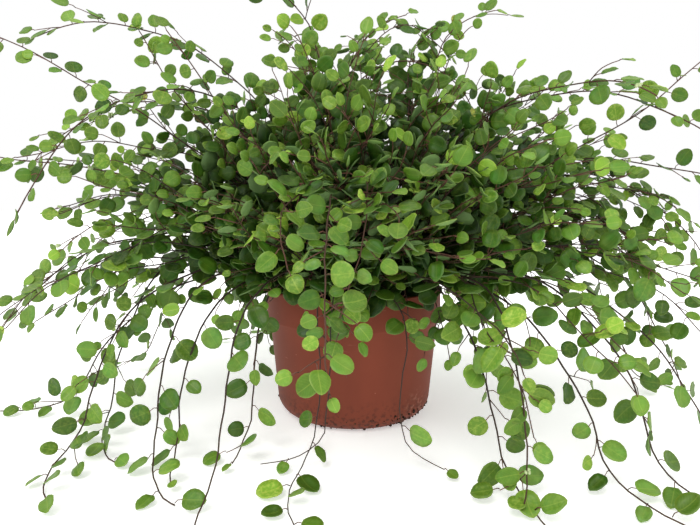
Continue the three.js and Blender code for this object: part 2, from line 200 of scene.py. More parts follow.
# The rule of a stem's route, which has a place at each pace. A rooted stem stands upright, then bends. Each
# stem sways in plan, in height and aside, over a wave for each, and eases onto the surface and below the top.
PACE = 4
FOOT_HEIGHT = 88
UPRIGHT_LENGTH = 12
BEND_LENGTH = 26
FLOOR_HEIGHT = 1.9
FLOOR_EASE = 26
TOP_HEIGHT = 352
TOP_EASE = 48
SWAY_START = 30
SWAY_EASE = 60
SWAY_YAW = 5
SWAY_PITCH = 4
SWAY_ASIDE = 0.09
YAW_WAVE = 17
PITCH_WAVE = 13
ASIDE_WAVE = 23
ZIGZAG = 0.07
ZIGZAG_LENGTH = 14

# A stem's key stands for it in every random draw. These are the first key of each kind of stem, and how far
# apart the keys of two sprays start, or those of the twigs of two stems.
VINE_KEYS_APART = 10
SHOOT_KEYS = 100
THIN_VINE_KEYS = 300
THIN_SHOOT_KEYS = 700
INNER_KEYS = 1000
RIM_KEYS = 2000
TWIG_KEYS = 3000
INNER_TWIG_KEYS = 20000
KEYS_APART = 40

VINE_AGES = (0.0, 0.75)
VINE_LEAF_START = 46
SHOOT_AGES = (0.2, 0.85)
SHOOT_DEPTH = 0.7
SHOOT_RING = (12, 40)

# The thinner stems beside a vine: how far aside, and the shares of its droop, curl and length, and their
# feet. Then how they rise over it, their most droop and their most length, where it trails or reaches out.
BESIDE_AWAY = (3, 9)
BESIDE_DROOPS = (0.5, 0.95)
BESIDE_CURLS = (0.1, 0.4)
BESIDE_LENGTHS = (0.7, 0.94)
BESIDE_FEET = (30, 52)
BESIDE_TRAILING = ((-2, 6), 1.0, 300)
BESIDE_REACHING = ((0, 15), 0.008, 330)

# A vine that rises less than this has one more stem beside it past each of these shares of the way aside.
LOW_RISE = 40
SIDE_SHARES = (0.8, 0.96)

# The thinner stems beside a shoot: the changes to the place and height on the mound, bearing, rise and droop
# of the shoot, then their curls and the shares of its length.
BESIDE_SHOOTS = 2
SHOOT_CHANGES = [(-9, 9), (-8, 8), (-16, 16), (-12, 12), (-0.002, 0.008)]
SHOOT_CURLS = (-60, 60)
SHOOT_LENGTHS = (0.5, 0.9)

# The short stems of each spray that lean over the rim and hang beside it.
RIM_STEMS = 5
RIM_RISES = (16, 40)
RIM_DROOPS = (0.02, 0.036)
RIM_CURLS = (-50, 50)
RIM_LENGTHS = (105, 165)
RIM_FEET = (40, 58)
SHORT_RIM_SHARE = 0.65

# The fine stems that fill the mound: how many in a spray, the ring and the sector of soil that they root in,
# the sines of their heights, how far out in the mound they reach, how much further at its two sides, and how
# much less at its upper and lower left.
INNER_STEMS = 26
INNER_RING = (10, 52)
INNER_SECTOR = 58
INNER_SINES = (-0.34, 0.99)
INNER_REACH = (1.1, 1.5)
INNER_WIDENING = 0.45
LEFT_OPENING = 0.3
INNER_DROOPS = (0.001, 0.006)
INNER_CURL = 90
INNER_AGES = (0.1, 0.8)

# The side twigs of a stem: how they lean round it and spread from it, their droop and curl, where their sway
# and leaves start, the least depth and height that they grow at, and how much of the stem's end stays bare.
TWIG_LEANS = (-55, 55)
TWIG_SPREADS = (30, 62)
TWIG_DROOPS = (0.0, 0.014)
TWIG_CURLS = (-40, 40)
TWIG_SWAY_START = -20
TWIG_LEAF_START = 6
TWIG_DEPTH = 0.4
LOWEST_TWIG = 9
BARE_END = 12

# How the gaps between leaves and between twigs differ.
SPACINGS = (0.75, 1.25)

# Where leaves grow: not deep in the mound, nor over the soil, and few before the pot's wall. Those further
# out than the fine depth are modelled finely, and the rest are larger.
LEAFLESS_DEPTH = 0.5
FINE_DEPTH = 1.0
INNER_LEAF_GROWTH = 1.2
OVER_RIM = 4
BESIDE_RIM = 2
FRONT_FRINGE = 24
FRONT_LEAF_SHARE = 0.3

# The side that the light comes from, which leaves turn to, and how far behind the plant's middle it fades.
LIGHT_SIDE = Vector((-0.1, -0.9, 0.35))
LIT_DEPTH = 96
LIT_FADE = 120

# How leaves roll round their stem, turn round their stalk and nod, and below what height they lie flatter.
LEAF_ROLL = 80
LEAF_TURN = 56
LEAF_NODS = (0.0, 0.35)
FLAT_HEIGHT = 12
LEAF_GAP = 0.4

# The sizes of leaves and their stalks.
LONGEST_LEAF = 18.0
TIP_LEAF_SIZES = (6, 10)
LEAF_THICKNESS = 0.028
STALK_LENGTHS = (3.0, 6.0)
STALK_RADIUS = 0.4
STALK_TAPER = 0.8
STALK_AGES = (0.7, 1.0)
USUAL_LEAF = 13

# The looks of leaves: the depths over which they go from painted shade, dark deep in the mound, to pale, and
# from which they are young, how young, and the shares of rare ones.
SHADED_DEPTH = 0.8
SHADE_FADE = 0.6
SUNNY_DEPTH = 1.15
SUNNY_FADE = 0.4
SUNNY_YOUTH = 0.4
TIP_YOUTH = 0.45
LIME_SHARE = 0.1
AGED_SHARE = 0.004
AGED_MOTTLE = 2.0
BUD_SHARE = 0.008
TINT_LEVELS = 60

# The forms of a blade: its width for its length, how deep it is cupped, the fold along its midrib, how far
# its tip curls down, the wave of its edge, and how pointed its tip is. Then the cells along and across it.
LEAF_SHAPES = [
    (0.98, 0.06, 0.03, 0.02, 0.0, 0.0),
    (0.93, 0.1, 0.02, 0.05, 0.02, 0.01),
    (0.84, 0.04, 0.05, 0.08, 0.02, 0.03),
    (0.95, -0.04, 0.02, 0.1, 0.02, 0.01),
    (0.82, 0.12, 0.04, 0.0, 0.0, 0.03),
    (0.75, 0.07, 0.04, 0.1, 0.03, 0.05),
]
FINE_CELLS = (4, 4)
COARSE_CELLS = (3, 2)

# A stem of more steps than this is drawn with every other one. A stem on the surface lies this far over it.
LONG_STEP_COUNT = 20
LYING_GAP = 0.1

# The stage: a floor, with its radius in metres, that glows a little, a soft sun, and the camera, fitted to
# the photograph with its place in mm.
FLOOR_RADIUS = 4
FLOOR_GLOW = 0.42
SUN_STRENGTH = 1.3
SUN_WIDTH = 25
SUN_TURNS = (32, -18, 0)
CAMERA_PLACE = (-3.3, -518, 200)
CAMERA_DROP = 7.8
PICTURE_WIDTH = 700
FOCAL_PIXELS = 600
SENSOR_WIDTH = 36

# The numbers of a Mix node's sockets for colours.
MIX_SHARE, MIX_FROM, MIX_TO, MIX_RESULT = 0, 6, 7, 2

WHITE = (1, 1, 1, 1)

# Colours
HEX = {
    "plastic": "#7a3a28",
    "plastic pale": "#a8705c",
    "peat": "#2b211a",
    "peat fibre": "#5a4433",
    "bark": "#30241d",
    "red bark": "#493022",
    "young bark": "#6e4638",
    # Dark green that leaves deep in the mound take as painted shade, as well as old leaves.
    "leaf dark": "#213c0e",
    "leaf": "#3c6212",
    "leaf pale": "#6c9640",
    "leaf young": "#86b235",
    "leaf yellow": "#bccb5a",
    "leaf aged": "#74702a",
    "underside": "#6c8a52",
    "bud": "#dfe3b8",
    "floor": "#f4f4f2",
}


def linear(hex_colour):
    """Turn an sRGB hex colour to linear red, green, blue and alpha."""
    channels = [int(hex_colour[i:i + 2], 16) / 255 for i in (1, 3, 5)]
    turned = [c / 12.92 if c <= 0.04045 else ((c + 0.055) / 1.055) ** 2.4 for c in channels]
    return (*turned, 1.0)


def chance(kind, item, draw):
    """A repeatable draw from 0 to 1 for whole numbers that name what it is drawn for."""
    value = math.sin(kind * 12.9898 + item * 78.233 + draw * 37.719) * 43758.5453
    return value - math.floor(value)


def between(low, high, share):
    """The value at a share of the way from low to high."""
    return low + (high - low) * share


def drawn(limits, kind, item, draw):
    """A repeatable draw between two limits."""
    return between(*limits, chance(kind, item, draw))


def clamp(value, low=0.0, high=1.0):
    """The value, kept between low and high."""
    return max(low, min(high, value))


def towards(bearing, height):
    """The direction at a bearing and a height."""
    turn, lift = math.radians(bearing), math.radians(height)
    return Vector((math.cos(lift) * math.cos(turn), math.cos(lift) * math.sin(turn), math.sin(lift)))


def bearing_of(way):
    """The bearing of a place or a direction."""
    return math.degrees(math.atan2(way.y, way.x))


def within(bearing, sector):
    """Whether a bearing lies in a sector."""
    return sector[0] < bearing % 360 < sector[1]


def square_to(way, axis):
    """The direction of what is left of a way when its part along an axis is taken off."""
    return (way - way.dot(axis) * axis).normalized()


def depth_of(place):
    """How far out a place lies in the mound: 0 at its centre and 1 at its surface."""
    away = place - MOUND_CENTRE
    return Vector([a / r for a, r in zip(away, MOUND_RADII)]).length


def in_mound(way, depth):
    """The place at a depth of the mound, in a direction from its centre."""
    return MOUND_CENTRE + depth * Vector([w * r for w, r in zip(way, MOUND_RADII)])


def before_pot(place):
    """Whether a place is in front of the pot's wall or of the surface before it."""
    return place.z < POT_HEIGHT - FRONT_FRINGE and within(bearing_of(place), OPEN_FRONT)


# Growth


@dataclass
class Habit:
    """How a kind of stem is clad: sizes and spacing of its leaves, and spacing and lengths of its twigs."""

    leaf_sizes: tuple
    leaf_spacing: float
    twig_spacing: float
    twig_lengths: tuple


TRAILING = Habit((12, LONGEST_LEAF), 15, 48, (24, 60))
AIRY = Habit((12, LONGEST_LEAF), 19, 70, (24, 50))
STANDING = Habit((9, 15), 12, 36, (26, 66))
PACKED = Habit((8.5, 15), 13, 23, (24, 46))


@dataclass
class Wood:
    """How a kind of stem is built: its radius at root and tip, how wildly it sways, and its sides."""

    radii: tuple
    wild: float
    sides: int = 5


MAIN_VINE = Wood((0.95, 0.5), 1)
FRONT_VINE = Wood((0.6, 0.36), 2)
THIN_VINE = Wood((0.7, 0.4), 2.2)
MAIN_SHOOT = Wood((0.75, 0.42), 1)
THIN_SHOOT = Wood((0.6, 0.38), 2.2)
RIM_STEM = Wood((0.6, 0.38), 1.6)
INNER_STEM = Wood((0.7, 0.4), 2.5, 4)
TWIG = Wood((0.46, 0.34), 2, 3)


@dataclass
class Stem:
    """A stem's key, route and build, its age at root and tip, where its leaves start, and its cladding."""

    key: int
    places: list
    wood: Wood
    ages: tuple
    leaf_start: float
    habit: Habit

    def reach(self):
        """The length of the stem's route."""
        return (len(self.places) - 1) * PACE


@dataclass
class Leaf:
    """A leaf's stalk, its frame, length and form, its tone with painted shade, youth and mottling, and its
    stalk's tint.
    """

    stalk: list
    root: Vector
    along: Vector
    face: Vector
    length: float
    form: int
    fine: bool
    look: tuple
    tint: int


def route(start, bearing, rise, droop, curl, length, key, wild, rooted=False, sway_start=SWAY_START):
    """The route of a stem that bends under its own weight, sways and eases onto the surface."""
    places = []
    place = start.copy()
    phase = 2 * math.pi * chance(key, 1, 0)
    lean = math.radians(rise)
    for step in range(int(length / PACE) + 1):
        walked = step * PACE
        places.append(place.copy())
        if rooted and walked < UPRIGHT_LENGTH + BEND_LENGTH:
            share = clamp((walked - UPRIGHT_LENGTH) / BEND_LENGTH)
            share = share * share * (3 - 2 * share)
            pitch = between(math.pi / 2, lean, share)
        else:
            lean -= droop * math.cos(lean) * PACE
            pitch = lean
        sway = clamp((walked - sway_start) / SWAY_EASE)
        turn = math.radians(bearing) + math.radians(curl) * (walked / length) ** 2
        turn += math.radians(SWAY_YAW) * wild * sway * math.sin(walked / YAW_WAVE + phase)
        pitch += math.radians(SWAY_PITCH) * wild * sway * math.sin(walked / PITCH_WAVE + 2 * phase)
        lowest = -math.asin(clamp((place.z - FLOOR_HEIGHT) / FLOOR_EASE))
        highest = math.asin(clamp((TOP_HEIGHT - place.z) / TOP_EASE))
        if not lowest <= pitch <= highest:
            pitch = clamp(pitch, lowest, highest)
            lean = clamp(lean, lowest, highest)
        way = Vector((
            math.cos(pitch) * math.cos(turn),
            math.cos(pitch) * math.sin(turn),
            math.sin(pitch),
        ))
        aside = SWAY_ASIDE * wild * sway * math.sin(walked / ASIDE_WAVE + 3 * phase)
        aside += ZIGZAG * clamp(sway * 3) * (1 if int(walked / ZIGZAG_LENGTH) % 2 else -1)
        way += aside * Vector((-math.sin(turn), math.cos(turn), 0))
        place = place + PACE * way.normalized()
    return places


def along(places, distance):
    """The place and direction at a distance along a route, which stay just short of its last place."""
    count = clamp(distance / PACE, 0, len(places) - 1.001)
    before = int(count)
    step = places[before + 1] - places[before]
    return places[before] + step * (count - before), step.normalized()


def lead_in(side, start, bearing, rise, key):
    """The hidden stretch of a shoot, from the soil up to where it stands out of the mound."""
    foot = towards(side, 0) * drawn(SHOOT_RING, key, 2, 0) + UP * FOOT_HEIGHT
    span = (start - foot).length
    first, last = UP * span, towards(bearing, rise) * span
    steps = int(span / PACE)
    places = []
    for i in range(steps):
        s = i / steps
        place = foot * (2 * s ** 3 - 3 * s ** 2 + 1) + first * (s ** 3 - 2 * s ** 2 + s)
        places.append(place + start * (3 * s ** 2 - 2 * s ** 3) + last * (s ** 3 - s ** 2))
    return places


def vine(key, row, wood, habit=TRAILING):
    """A long stem that roots in the soil and passes over the rim."""
    *rule, foot = row
    start = towards(rule[0], 0) * foot + UP * FOOT_HEIGHT
    places = route(start, *rule, key, wood.wild, rooted=True)
    return Stem(key, places, wood, VINE_AGES, VINE_LEAF_START, habit)


def shoot(key, side, row, wood):
    """A stem that stands out of the mound."""
    place, height, *rule = row
    start = in_mound(towards(place, height), SHOOT_DEPTH)
    lead = lead_in(side, start, rule[0], rule[1], key)
    places = lead + route(start, *rule, key, wood.wild)
    return Stem(key, places, wood, SHOOT_AGES, len(lead) * PACE, STANDING)


def vines_beside(bearing, rise):
    """How many thinner stems grow beside a vine: most at the low sides, none at the front and its left."""
    if within(bearing, BARE_SECTOR):
        return 0
    aside = abs(math.cos(math.radians(bearing)))
    return 1 + sum(rise < LOW_RISE and aside > share for share in SIDE_SHARES)


def vines_of(index, vines):
    """The vines of a spray, on the routes that its solid has, and the thinner ones beside each."""
    stems = []
    for i, row in enumerate(vines):
        bearing, rise, droop, curl, length, foot = row
        wood = FRONT_VINE if within(bearing, OPEN_FRONT) else MAIN_VINE
        airy = wood is MAIN_VINE and within(bearing, AIRY_SECTOR)
        stems.append(vine(VINE_KEYS_APART * index + i, row, wood, AIRY if airy else TRAILING))
        trails = within(bearing, TRAILING_SECTOR)
        rises, most_droop, most_length = BESIDE_TRAILING if trails else BESIDE_REACHING
        for j in range(vines_beside(bearing, rise)):
            key = THIN_VINE_KEYS + KEYS_APART * index + 4 * i + j
            stems.append(vine(key, (
                bearing + (1 if j % 2 else -1) * drawn(BESIDE_AWAY, key, 4, 0),
                rise + drawn(rises, key, 4, 1),
                min(droop, most_droop) * drawn(BESIDE_DROOPS, key, 4, 2),
                curl * drawn(BESIDE_CURLS, key, 4, 3),
                min(length, most_length) * drawn(BESIDE_LENGTHS, key, 4, 4),
                drawn(BESIDE_FEET, key, 4, 5),
            ), THIN_VINE))
    return stems


def spread_shoots():
    """The rows of more shoots all round the mound, by turns low, middling and high."""
    rows = []
    for i in range(SPREAD_SHOOTS):
        height, rise, droop, length = SPREAD_LEVELS[i % len(SPREAD_LEVELS)]
        turn = 1 if i % 2 else -1
        bearing = SPRAY_WIDTH * i + SPREAD_SHIFT * turn
        rows.append((bearing, height, bearing, rise, droop, -SPREAD_CURL * turn, length))
    return rows


def shoots_of(side):
    """The shoots of a spray, on the routes that its solid has, and the thinner ones beside each."""
    stems = []
    for i, row in enumerate(SHOOTS + spread_shoots()):
        place, height, *_, length = row
        if (place - side + SPRAY_WIDTH / 2) % 360 >= SPRAY_WIDTH:
            continue
        stems.append(shoot(SHOOT_KEYS + i, side, row, MAIN_SHOOT))
        crowded = any(within(place, sector) for sector in CROWDED_SECTORS)
        if crowded and CROWDED_HEIGHTS[0] < height < CROWDED_HEIGHTS[1]:
            continue
        for j in range(BESIDE_SHOOTS):
            key = THIN_SHOOT_KEYS + 4 * i + j
            rule = [row[n] + drawn(change, key, 4, n) for n, change in enumerate(SHOOT_CHANGES)]
            rule += [drawn(SHOOT_CURLS, key, 4, 5), length * drawn(SHOOT_LENGTHS, key, 4, 6)]
            stems.append(shoot(key, side, rule, THIN_SHOOT))
    return stems


def rim_stems(index, side):
    """The short stems of a spray that lean over the rim and hang beside it."""
    stems = []
    for i in range(RIM_STEMS):
        key = RIM_KEYS + KEYS_APART * index + i
        bearing = side + SPRAY_WIDTH * ((i + chance(key, 4, 0)) / RIM_STEMS - 0.5)
        shortening = SHORT_RIM_SHARE if within(bearing, SHORT_RIM_SECTOR) else 1
        stems.append(vine(key, (
            bearing,
            drawn(RIM_RISES, key, 4, 1),
            drawn(RIM_DROOPS, key, 4, 2),
            drawn(RIM_CURLS, key, 4, 3),
            drawn(RIM_LENGTHS, key, 4, 4) * shortening,
            drawn(RIM_FEET, key, 4, 5),
        ), RIM_STEM, STANDING))
    return stems


def inner_stems(index, side):
    """The stems that rise from the soil and fill a spray's share of the mound, spread evenly over it."""
    stems = []
    for i in range(INNER_STEMS):
        key = INNER_KEYS + KEYS_APART * index + i
        bearing = side + INNER_SECTOR * (chance(key, 1, 1) - 0.5)
        sine = between(*INNER_SINES, (i + chance(key, 1, 3)) / INNER_STEMS)
        way = towards(bearing, math.degrees(math.asin(sine)))
        reach = between(*INNER_REACH, chance(key, 1, 5) ** 1.2)
        reach *= 1 + INNER_WIDENING * way.x ** 4 * chance(key, 1, 8)
        reach *= 1 - LEFT_OPENING * max(0.0, -way.x) * abs(way.z) ** 0.5
        ring = between(*INNER_RING, math.sqrt(chance(key, 1, 2)))
        start = towards(side + INNER_SECTOR * (chance(key, 1, 7) - 0.5), 0) * ring + UP * FOOT_HEIGHT
        span = in_mound(way, reach) - start - UP * (UPRIGHT_LENGTH + BEND_LENGTH / 2)
        droop = drawn(INNER_DROOPS, key, 1, 4)
        rise = math.atan2(span.z, math.hypot(span.x, span.y))
        rise = math.degrees(rise + droop * span.length * 0.5 * math.cos(rise))
        curl = INNER_CURL * (chance(key, 1, 6) - 0.5)
        rule = (bearing_of(span) - curl / 3, rise, droop, curl, span.length + UPRIGHT_LENGTH + BEND_LENGTH)
        places = route(start, *rule, key, INNER_STEM.wild, rooted=True)
        stems.append(Stem(key, places, INNER_STEM, INNER_AGES, 0, PACKED))
    return stems


def twigs(stem, first_key):
    """The side twigs of a stem, by turns on one and the other side."""
    grown = []
    spacing = stem.habit.twig_spacing
    reach = stem.reach()
    distance = stem.leaf_start + spacing * between(0.4, 1, chance(stem.key, 5, 0))
    while distance < reach - BARE_END:
        item = len(grown)
        key = first_key + item
        root, ahead = along(stem.places, distance)
        distance += spacing * drawn(SPACINGS, stem.key, item, 20)
        if depth_of(root) < TWIG_DEPTH or root.z < LOWEST_TWIG or before_pot(root):
            continue
        flat = ahead.cross(UP).normalized()
        about = math.radians(drawn(TWIG_LEANS, key, 1, 21))
        aside = flat * math.cos(about) + flat.cross(ahead) * math.sin(about)
        aside = aside * (1 if item % 2 else -1)
        if aside.z < -0.3:
            aside.z = -aside.z * 0.4
        spread = math.radians(drawn(TWIG_SPREADS, key, 1, 22))
        way = (ahead * math.cos(spread) + aside * math.sin(spread)).normalized()
        rise = math.degrees(math.asin(clamp(way.z, -1, 1)))
        length = drawn(stem.habit.twig_lengths, key, 1, 23) * clamp(1.25 - distance / reach, 0.45, 1)
        rule = (bearing_of(way), rise, drawn(TWIG_DROOPS, key, 1, 24), drawn(TWIG_CURLS, key, 1, 25), length)
        places = route(root, *rule, key, TWIG.wild, sway_start=TWIG_SWAY_START)
        age = between(*stem.ages, clamp(distance / reach))
        grown.append(Stem(key, places, TWIG, (0.3 + 0.5 * age, 0.95), TWIG_LEAF_START, stem.habit))
    return grown


def spray_stems(index):
    """All stems of a spray, its long stems first."""
    side, vines = list(SPRAYS.values())[index]
    stems = vines_of(index, vines) + shoots_of(side) + rim_stems(index, side)
    inner = inner_stems(index, side)
    branches = []
    for group, first_key in ((stems, TWIG_KEYS), (inner, INNER_TWIG_KEYS)):
        for stem in group:
            branches += twigs(stem, first_key + KEYS_APART * stem.key)
    return stems + inner + branches


def leaf_face(joint, ahead, depth, roll):
    """The way that a leaf faces: up inside the mound, and away from its heart and to the light outside."""
    away = joint - HEART
    away.z *= 0.5
    away.normalize()
    lit = clamp((LIT_DEPTH - joint.y) / LIT_FADE)
    upward = between(1.0, between(0.7, 0.45, lit), clamp((depth - 0.9) / 0.4))
    face = upward * UP + between(0.8, 0.35, lit) * away + between(0.3, 1.1, lit) * LIGHT_SIDE
    return Matrix.Rotation(math.radians(LEAF_ROLL) * (roll - 0.5), 3, ahead) @ square_to(face, ahead)


def leaf_look(key, item, depth, near_tip):
    """A leaf's tone, youth and mottling: darker inside the mound as painted shade, and young at a stem's tip
    and in the sun.
    """
    # Painted shade: the tone darkens deeper in the mound, where shade falls; the rest of it differs at
    # random.
    light = clamp((depth - SHADED_DEPTH) / SHADE_FADE)
    tone_and_painted_shade = clamp(0.32 * light + 0.72 * (chance(key, item, 9) - 0.3) * (0.4 + 0.6 * light))
    sunny = clamp((depth - SUNNY_DEPTH) / SUNNY_FADE)
    young = max(TIP_YOUTH * near_tip, SUNNY_YOUTH * sunny * chance(key, item, 17) ** 1.5)
    if chance(key, item, 7) < LIME_SHARE * between(0.6, 1, sunny):
        young = max(young, chance(key, item, 8) ** 0.6)
    mottle = chance(key, item, 11) * (0.12 * chance(key, item, 15) + 0.88 * young ** 1.5)
    if chance(key, item, 16) < AGED_SHARE:
        mottle = AGED_MOTTLE
    return tone_and_painted_shade, young, mottle


def leaf_on(stem, item, distance, share, at_tip):
    """A leaf at a distance along a stem, or None where no leaf grows."""
    key = stem.key
    joint, ahead = along(stem.places, distance)
    depth = depth_of(joint)
    inside_rim = math.hypot(joint.x, joint.y) < BAND_RADIUS + BESIDE_RIM
    if inside_rim and joint.z < POT_HEIGHT + OVER_RIM or depth < LEAFLESS_DEPTH:
        return None
    if before_pot(joint) and chance(key, item, 14) > FRONT_LEAF_SHARE:
        return None
    face = leaf_face(joint, ahead, depth, chance(key, item, 1))
    reach = ahead.cross(face) * (1 if item % 2 else -1)
    if at_tip:
        reach = ahead + reach * 0.3
    else:
        reach += ahead * (0.3 + 0.4 * chance(key, item, 2)) + face * 0.2
    reach.normalize()
    near_tip = clamp((share - 0.8) / 0.2) * (0.4 + 0.6 * chance(key, item, 6))
    length = drawn(stem.habit.leaf_sizes, key, item, 4)
    length = between(length, drawn(TIP_LEAF_SIZES, key, item, 4), 0.8 * near_tip ** 1.5)
    fine = depth > FINE_DEPTH
    if not fine:
        length *= INNER_LEAF_GROWTH
    stalk_length = drawn(STALK_LENGTHS, key, item, 5) * length / USUAL_LEAF
    turn = Matrix.Rotation(math.radians(LEAF_TURN) * (chance(key, item, 3) - 0.5), 3, reach)
    square = turn @ square_to(face, reach)
    blade = (reach - square * drawn(LEAF_NODS, key, item, 10)).normalized()
    square = square_to(square, blade)
    root = joint + reach * stalk_length
    centre = root + blade * length / 2
    if centre.z < FLAT_HEIGHT:
        square = (square + UP * (1.5 - centre.z / 8)).normalized()
        blade = square_to(blade, square)
        centre = root + blade * length / 2
    # The blade's lowest point, with what its tip or edge may curl down.
    lowest = centre.z - length * (0.5 * math.sqrt(max(0.0, 1 - square.z ** 2)) + 0.14)
    if lowest < LEAF_GAP:
        root = root + UP * (LEAF_GAP - lowest)
    middle = (joint + root) / 2 + (UP * 0.12 - ahead * 0.1) * stalk_length
    look = leaf_look(key, item, depth, near_tip)
    form = int(chance(key, item, 12) * len(LEAF_SHAPES))
    tint = int(chance(key, item, 13) * TINT_LEVELS)
    stalk = [joint, middle, root + blade * 0.4] if fine else [joint, root + blade * 0.4]
    return Leaf(stalk, root, blade, square, length, form, fine, look, tint)


def spray_leaves(stems):
    """The leaves of a spray's stems, one at each joint by turns on either side and the last at the tip."""
    leaves = []
    for stem in stems:
        reach = stem.reach()
        distance = stem.leaf_start
        item = 0
        while distance <= reach:
            gap = stem.habit.leaf_spacing * drawn(SPACINGS, stem.key, item, 30)
            gap *= between(1, 0.6, clamp(distance / reach - 0.6))
            at_tip = distance + gap > reach
            joint = reach if at_tip else distance
            leaf = leaf_on(stem, item, joint, joint / reach, at_tip)
            if leaf:
                leaves.append(leaf)
            item += 1
            distance += gap
    return leaves


@cache
def grown_spray(index):
    """The stems and leaves of a spray."""
    stems = spray_stems(index)
    return stems, spray_leaves(stems)


# Meshes


def select_only(piece=None):
    """Deselect all, and make one object, if any is given, the active and only selected one."""
    bpy.ops.object.select_all(action="DESELECT")
    if piece:
        piece.select_set(True)
        bpy.context.view_layer.objects.active = piece


def apply_modifier(piece, modifier):
    """Apply a modifier of a piece to its mesh."""
    select_only(piece)
    bpy.ops.object.modifier_apply(modifier=modifier.name)


def object_from(name, points, faces):
    """A new object at the origin with a mesh of the given points in mm."""
    mesh = bpy.data.meshes.new(name)
    mesh.from_pydata((np.asarray(points, dtype=float) * MM).tolist(), [], faces)
    piece = bpy.data.objects.new(name, mesh)
    bpy.context.scene.collection.objects.link(piece)
    return piece


class Tubes:
    """Closed round tubes gathered for one mesh, with the age and tint of the wood along them."""

    def __init__(self):
        self.points = []
        self.faces = []
        self.growth = []

    def add(self, places, radii, ages, tint, sides):
        """Add a tube along places. Its age and tint keep inside a cell of the UV map."""
        start = len(self.points)
        last = len(places) - 1
        side = (places[1] - places[0]).normalized().orthogonal().normalized()
        for k, place in enumerate(places):
            ahead = (places[min(k + 1, last)] - places[max(k - 1, 0)]).normalized()
            side = square_to(side, ahead)
            other = ahead.cross(side)
            share = k / last
            radius = between(*radii, share)
            age = 0.01 + 0.98 * clamp(between(*ages, share))
            for j in range(sides):
                turn = 2 * math.pi * j / sides
                self.points.append(place + radius * (side * math.cos(turn) + other * math.sin(turn)))
                around = abs(1 - 2 * j / sides)
                self.growth.append((age, (tint + 0.1 + 0.8 * around) / TINT_LEVELS))
        for k in range(last):
            for j in range(sides):
                here = start + k * sides + j
                beside = start + k * sides + (j + 1) % sides
                self.faces.append((here, beside, beside + sides, here + sides))
        self.faces.append(tuple(reversed(range(start, start + sides))))
        self.faces.append(tuple(range(start + last * sides, start + (last + 1) * sides)))

    def piece(self, name):
        """The object of all tubes."""
        made = object_from(name, self.points, self.faces)
        mesh = made.data
        mesh.shade_smooth()
        corners = np.empty(len(mesh.loops), dtype=int)
        mesh.loops.foreach_get("vertex_index", corners)
        layer = mesh.uv_layers.new(name="UVMap")
        layer.data.foreach_set("uv", np.array(self.growth)[corners].ravel())
        return made


def on_surface(places, radius):
    """The places of a route let down so that a thin stem lies on the surface where the route reaches it."""
    lowered = []
    for place in places:
        share = clamp(1 - (place.z - FLOOR_HEIGHT) / FLOOR_EASE)
        lowered.append(place - UP * (FLOOR_HEIGHT - radius - LYING_GAP) * share)
    return lowered


def leaf_blade(cells_along, cells_across, shape):
    """Model one blade 1 long from a grid and give its arrays.

    They are its points, their places on a flat disc, its faces, which faces are smooth, and which points are
    on its upper side.
    """
    width, cup, fold, curl, wave, point = shape
    select_only()
    bpy.ops.mesh.primitive_grid_add(x_subdivisions=cells_along, y_subdivisions=cells_across, size=2)
    blade = bpy.context.active_object
    mesh = blade.data
    disc = mesh.attributes.new("disc", "FLOAT_VECTOR", "POINT")
    for i, vertex in enumerate(mesh.vertices):
        across, out = vertex.co.y, vertex.co.x
        u = out * math.sqrt(1 - across * across / 2)
        v = across * math.sqrt(1 - out * out / 2)
        edge = math.hypot(u, v)
        turn = math.atan2(v, u)
        tip = point * max(0.0, math.cos(turn)) ** 12 * edge
        notch = 0.03 * max(0.0, -math.cos(turn)) ** 10 * edge
        lift = cup * edge * edge + fold * abs(v) - curl * max(0.0, u) ** 2
        lift += wave * edge ** 2 * math.sin(5 * turn)
        vertex.co = (0.5 + 0.5 * u + tip + notch, 0.5 * width * v * (1 - 0.06 * u), lift)
        disc.data[i].vector = (u, v, 0)
    thicken = blade.modifiers.new("Thickness", "SOLIDIFY")
    thicken.thickness = LEAF_THICKNESS
    thicken.offset = 0
    apply_modifier(blade, thicken)
    mesh = blade.data
    points = np.array([vertex.co[:] for vertex in mesh.vertices])
    flat = np.array([item.vector[:2] for item in mesh.attributes["disc"].data])
    faces = np.array([list(face.vertices) for face in mesh.polygons])
    cells = cells_along * cells_across
    smooth = np.arange(len(faces)) < 2 * cells
    first_up = sum(face.normal.z for face in mesh.polygons[:cells]) > 0
    upper = np.zeros(len(points), dtype=bool)
    upper[faces[:cells] if first_up else faces[cells:2 * cells]] = True
    bpy.data.objects.remove(blade)
    points = points - points[np.argmin(points[:, 0])] * np.array([1, 0, 1])
    return points, flat, faces, smooth, upper


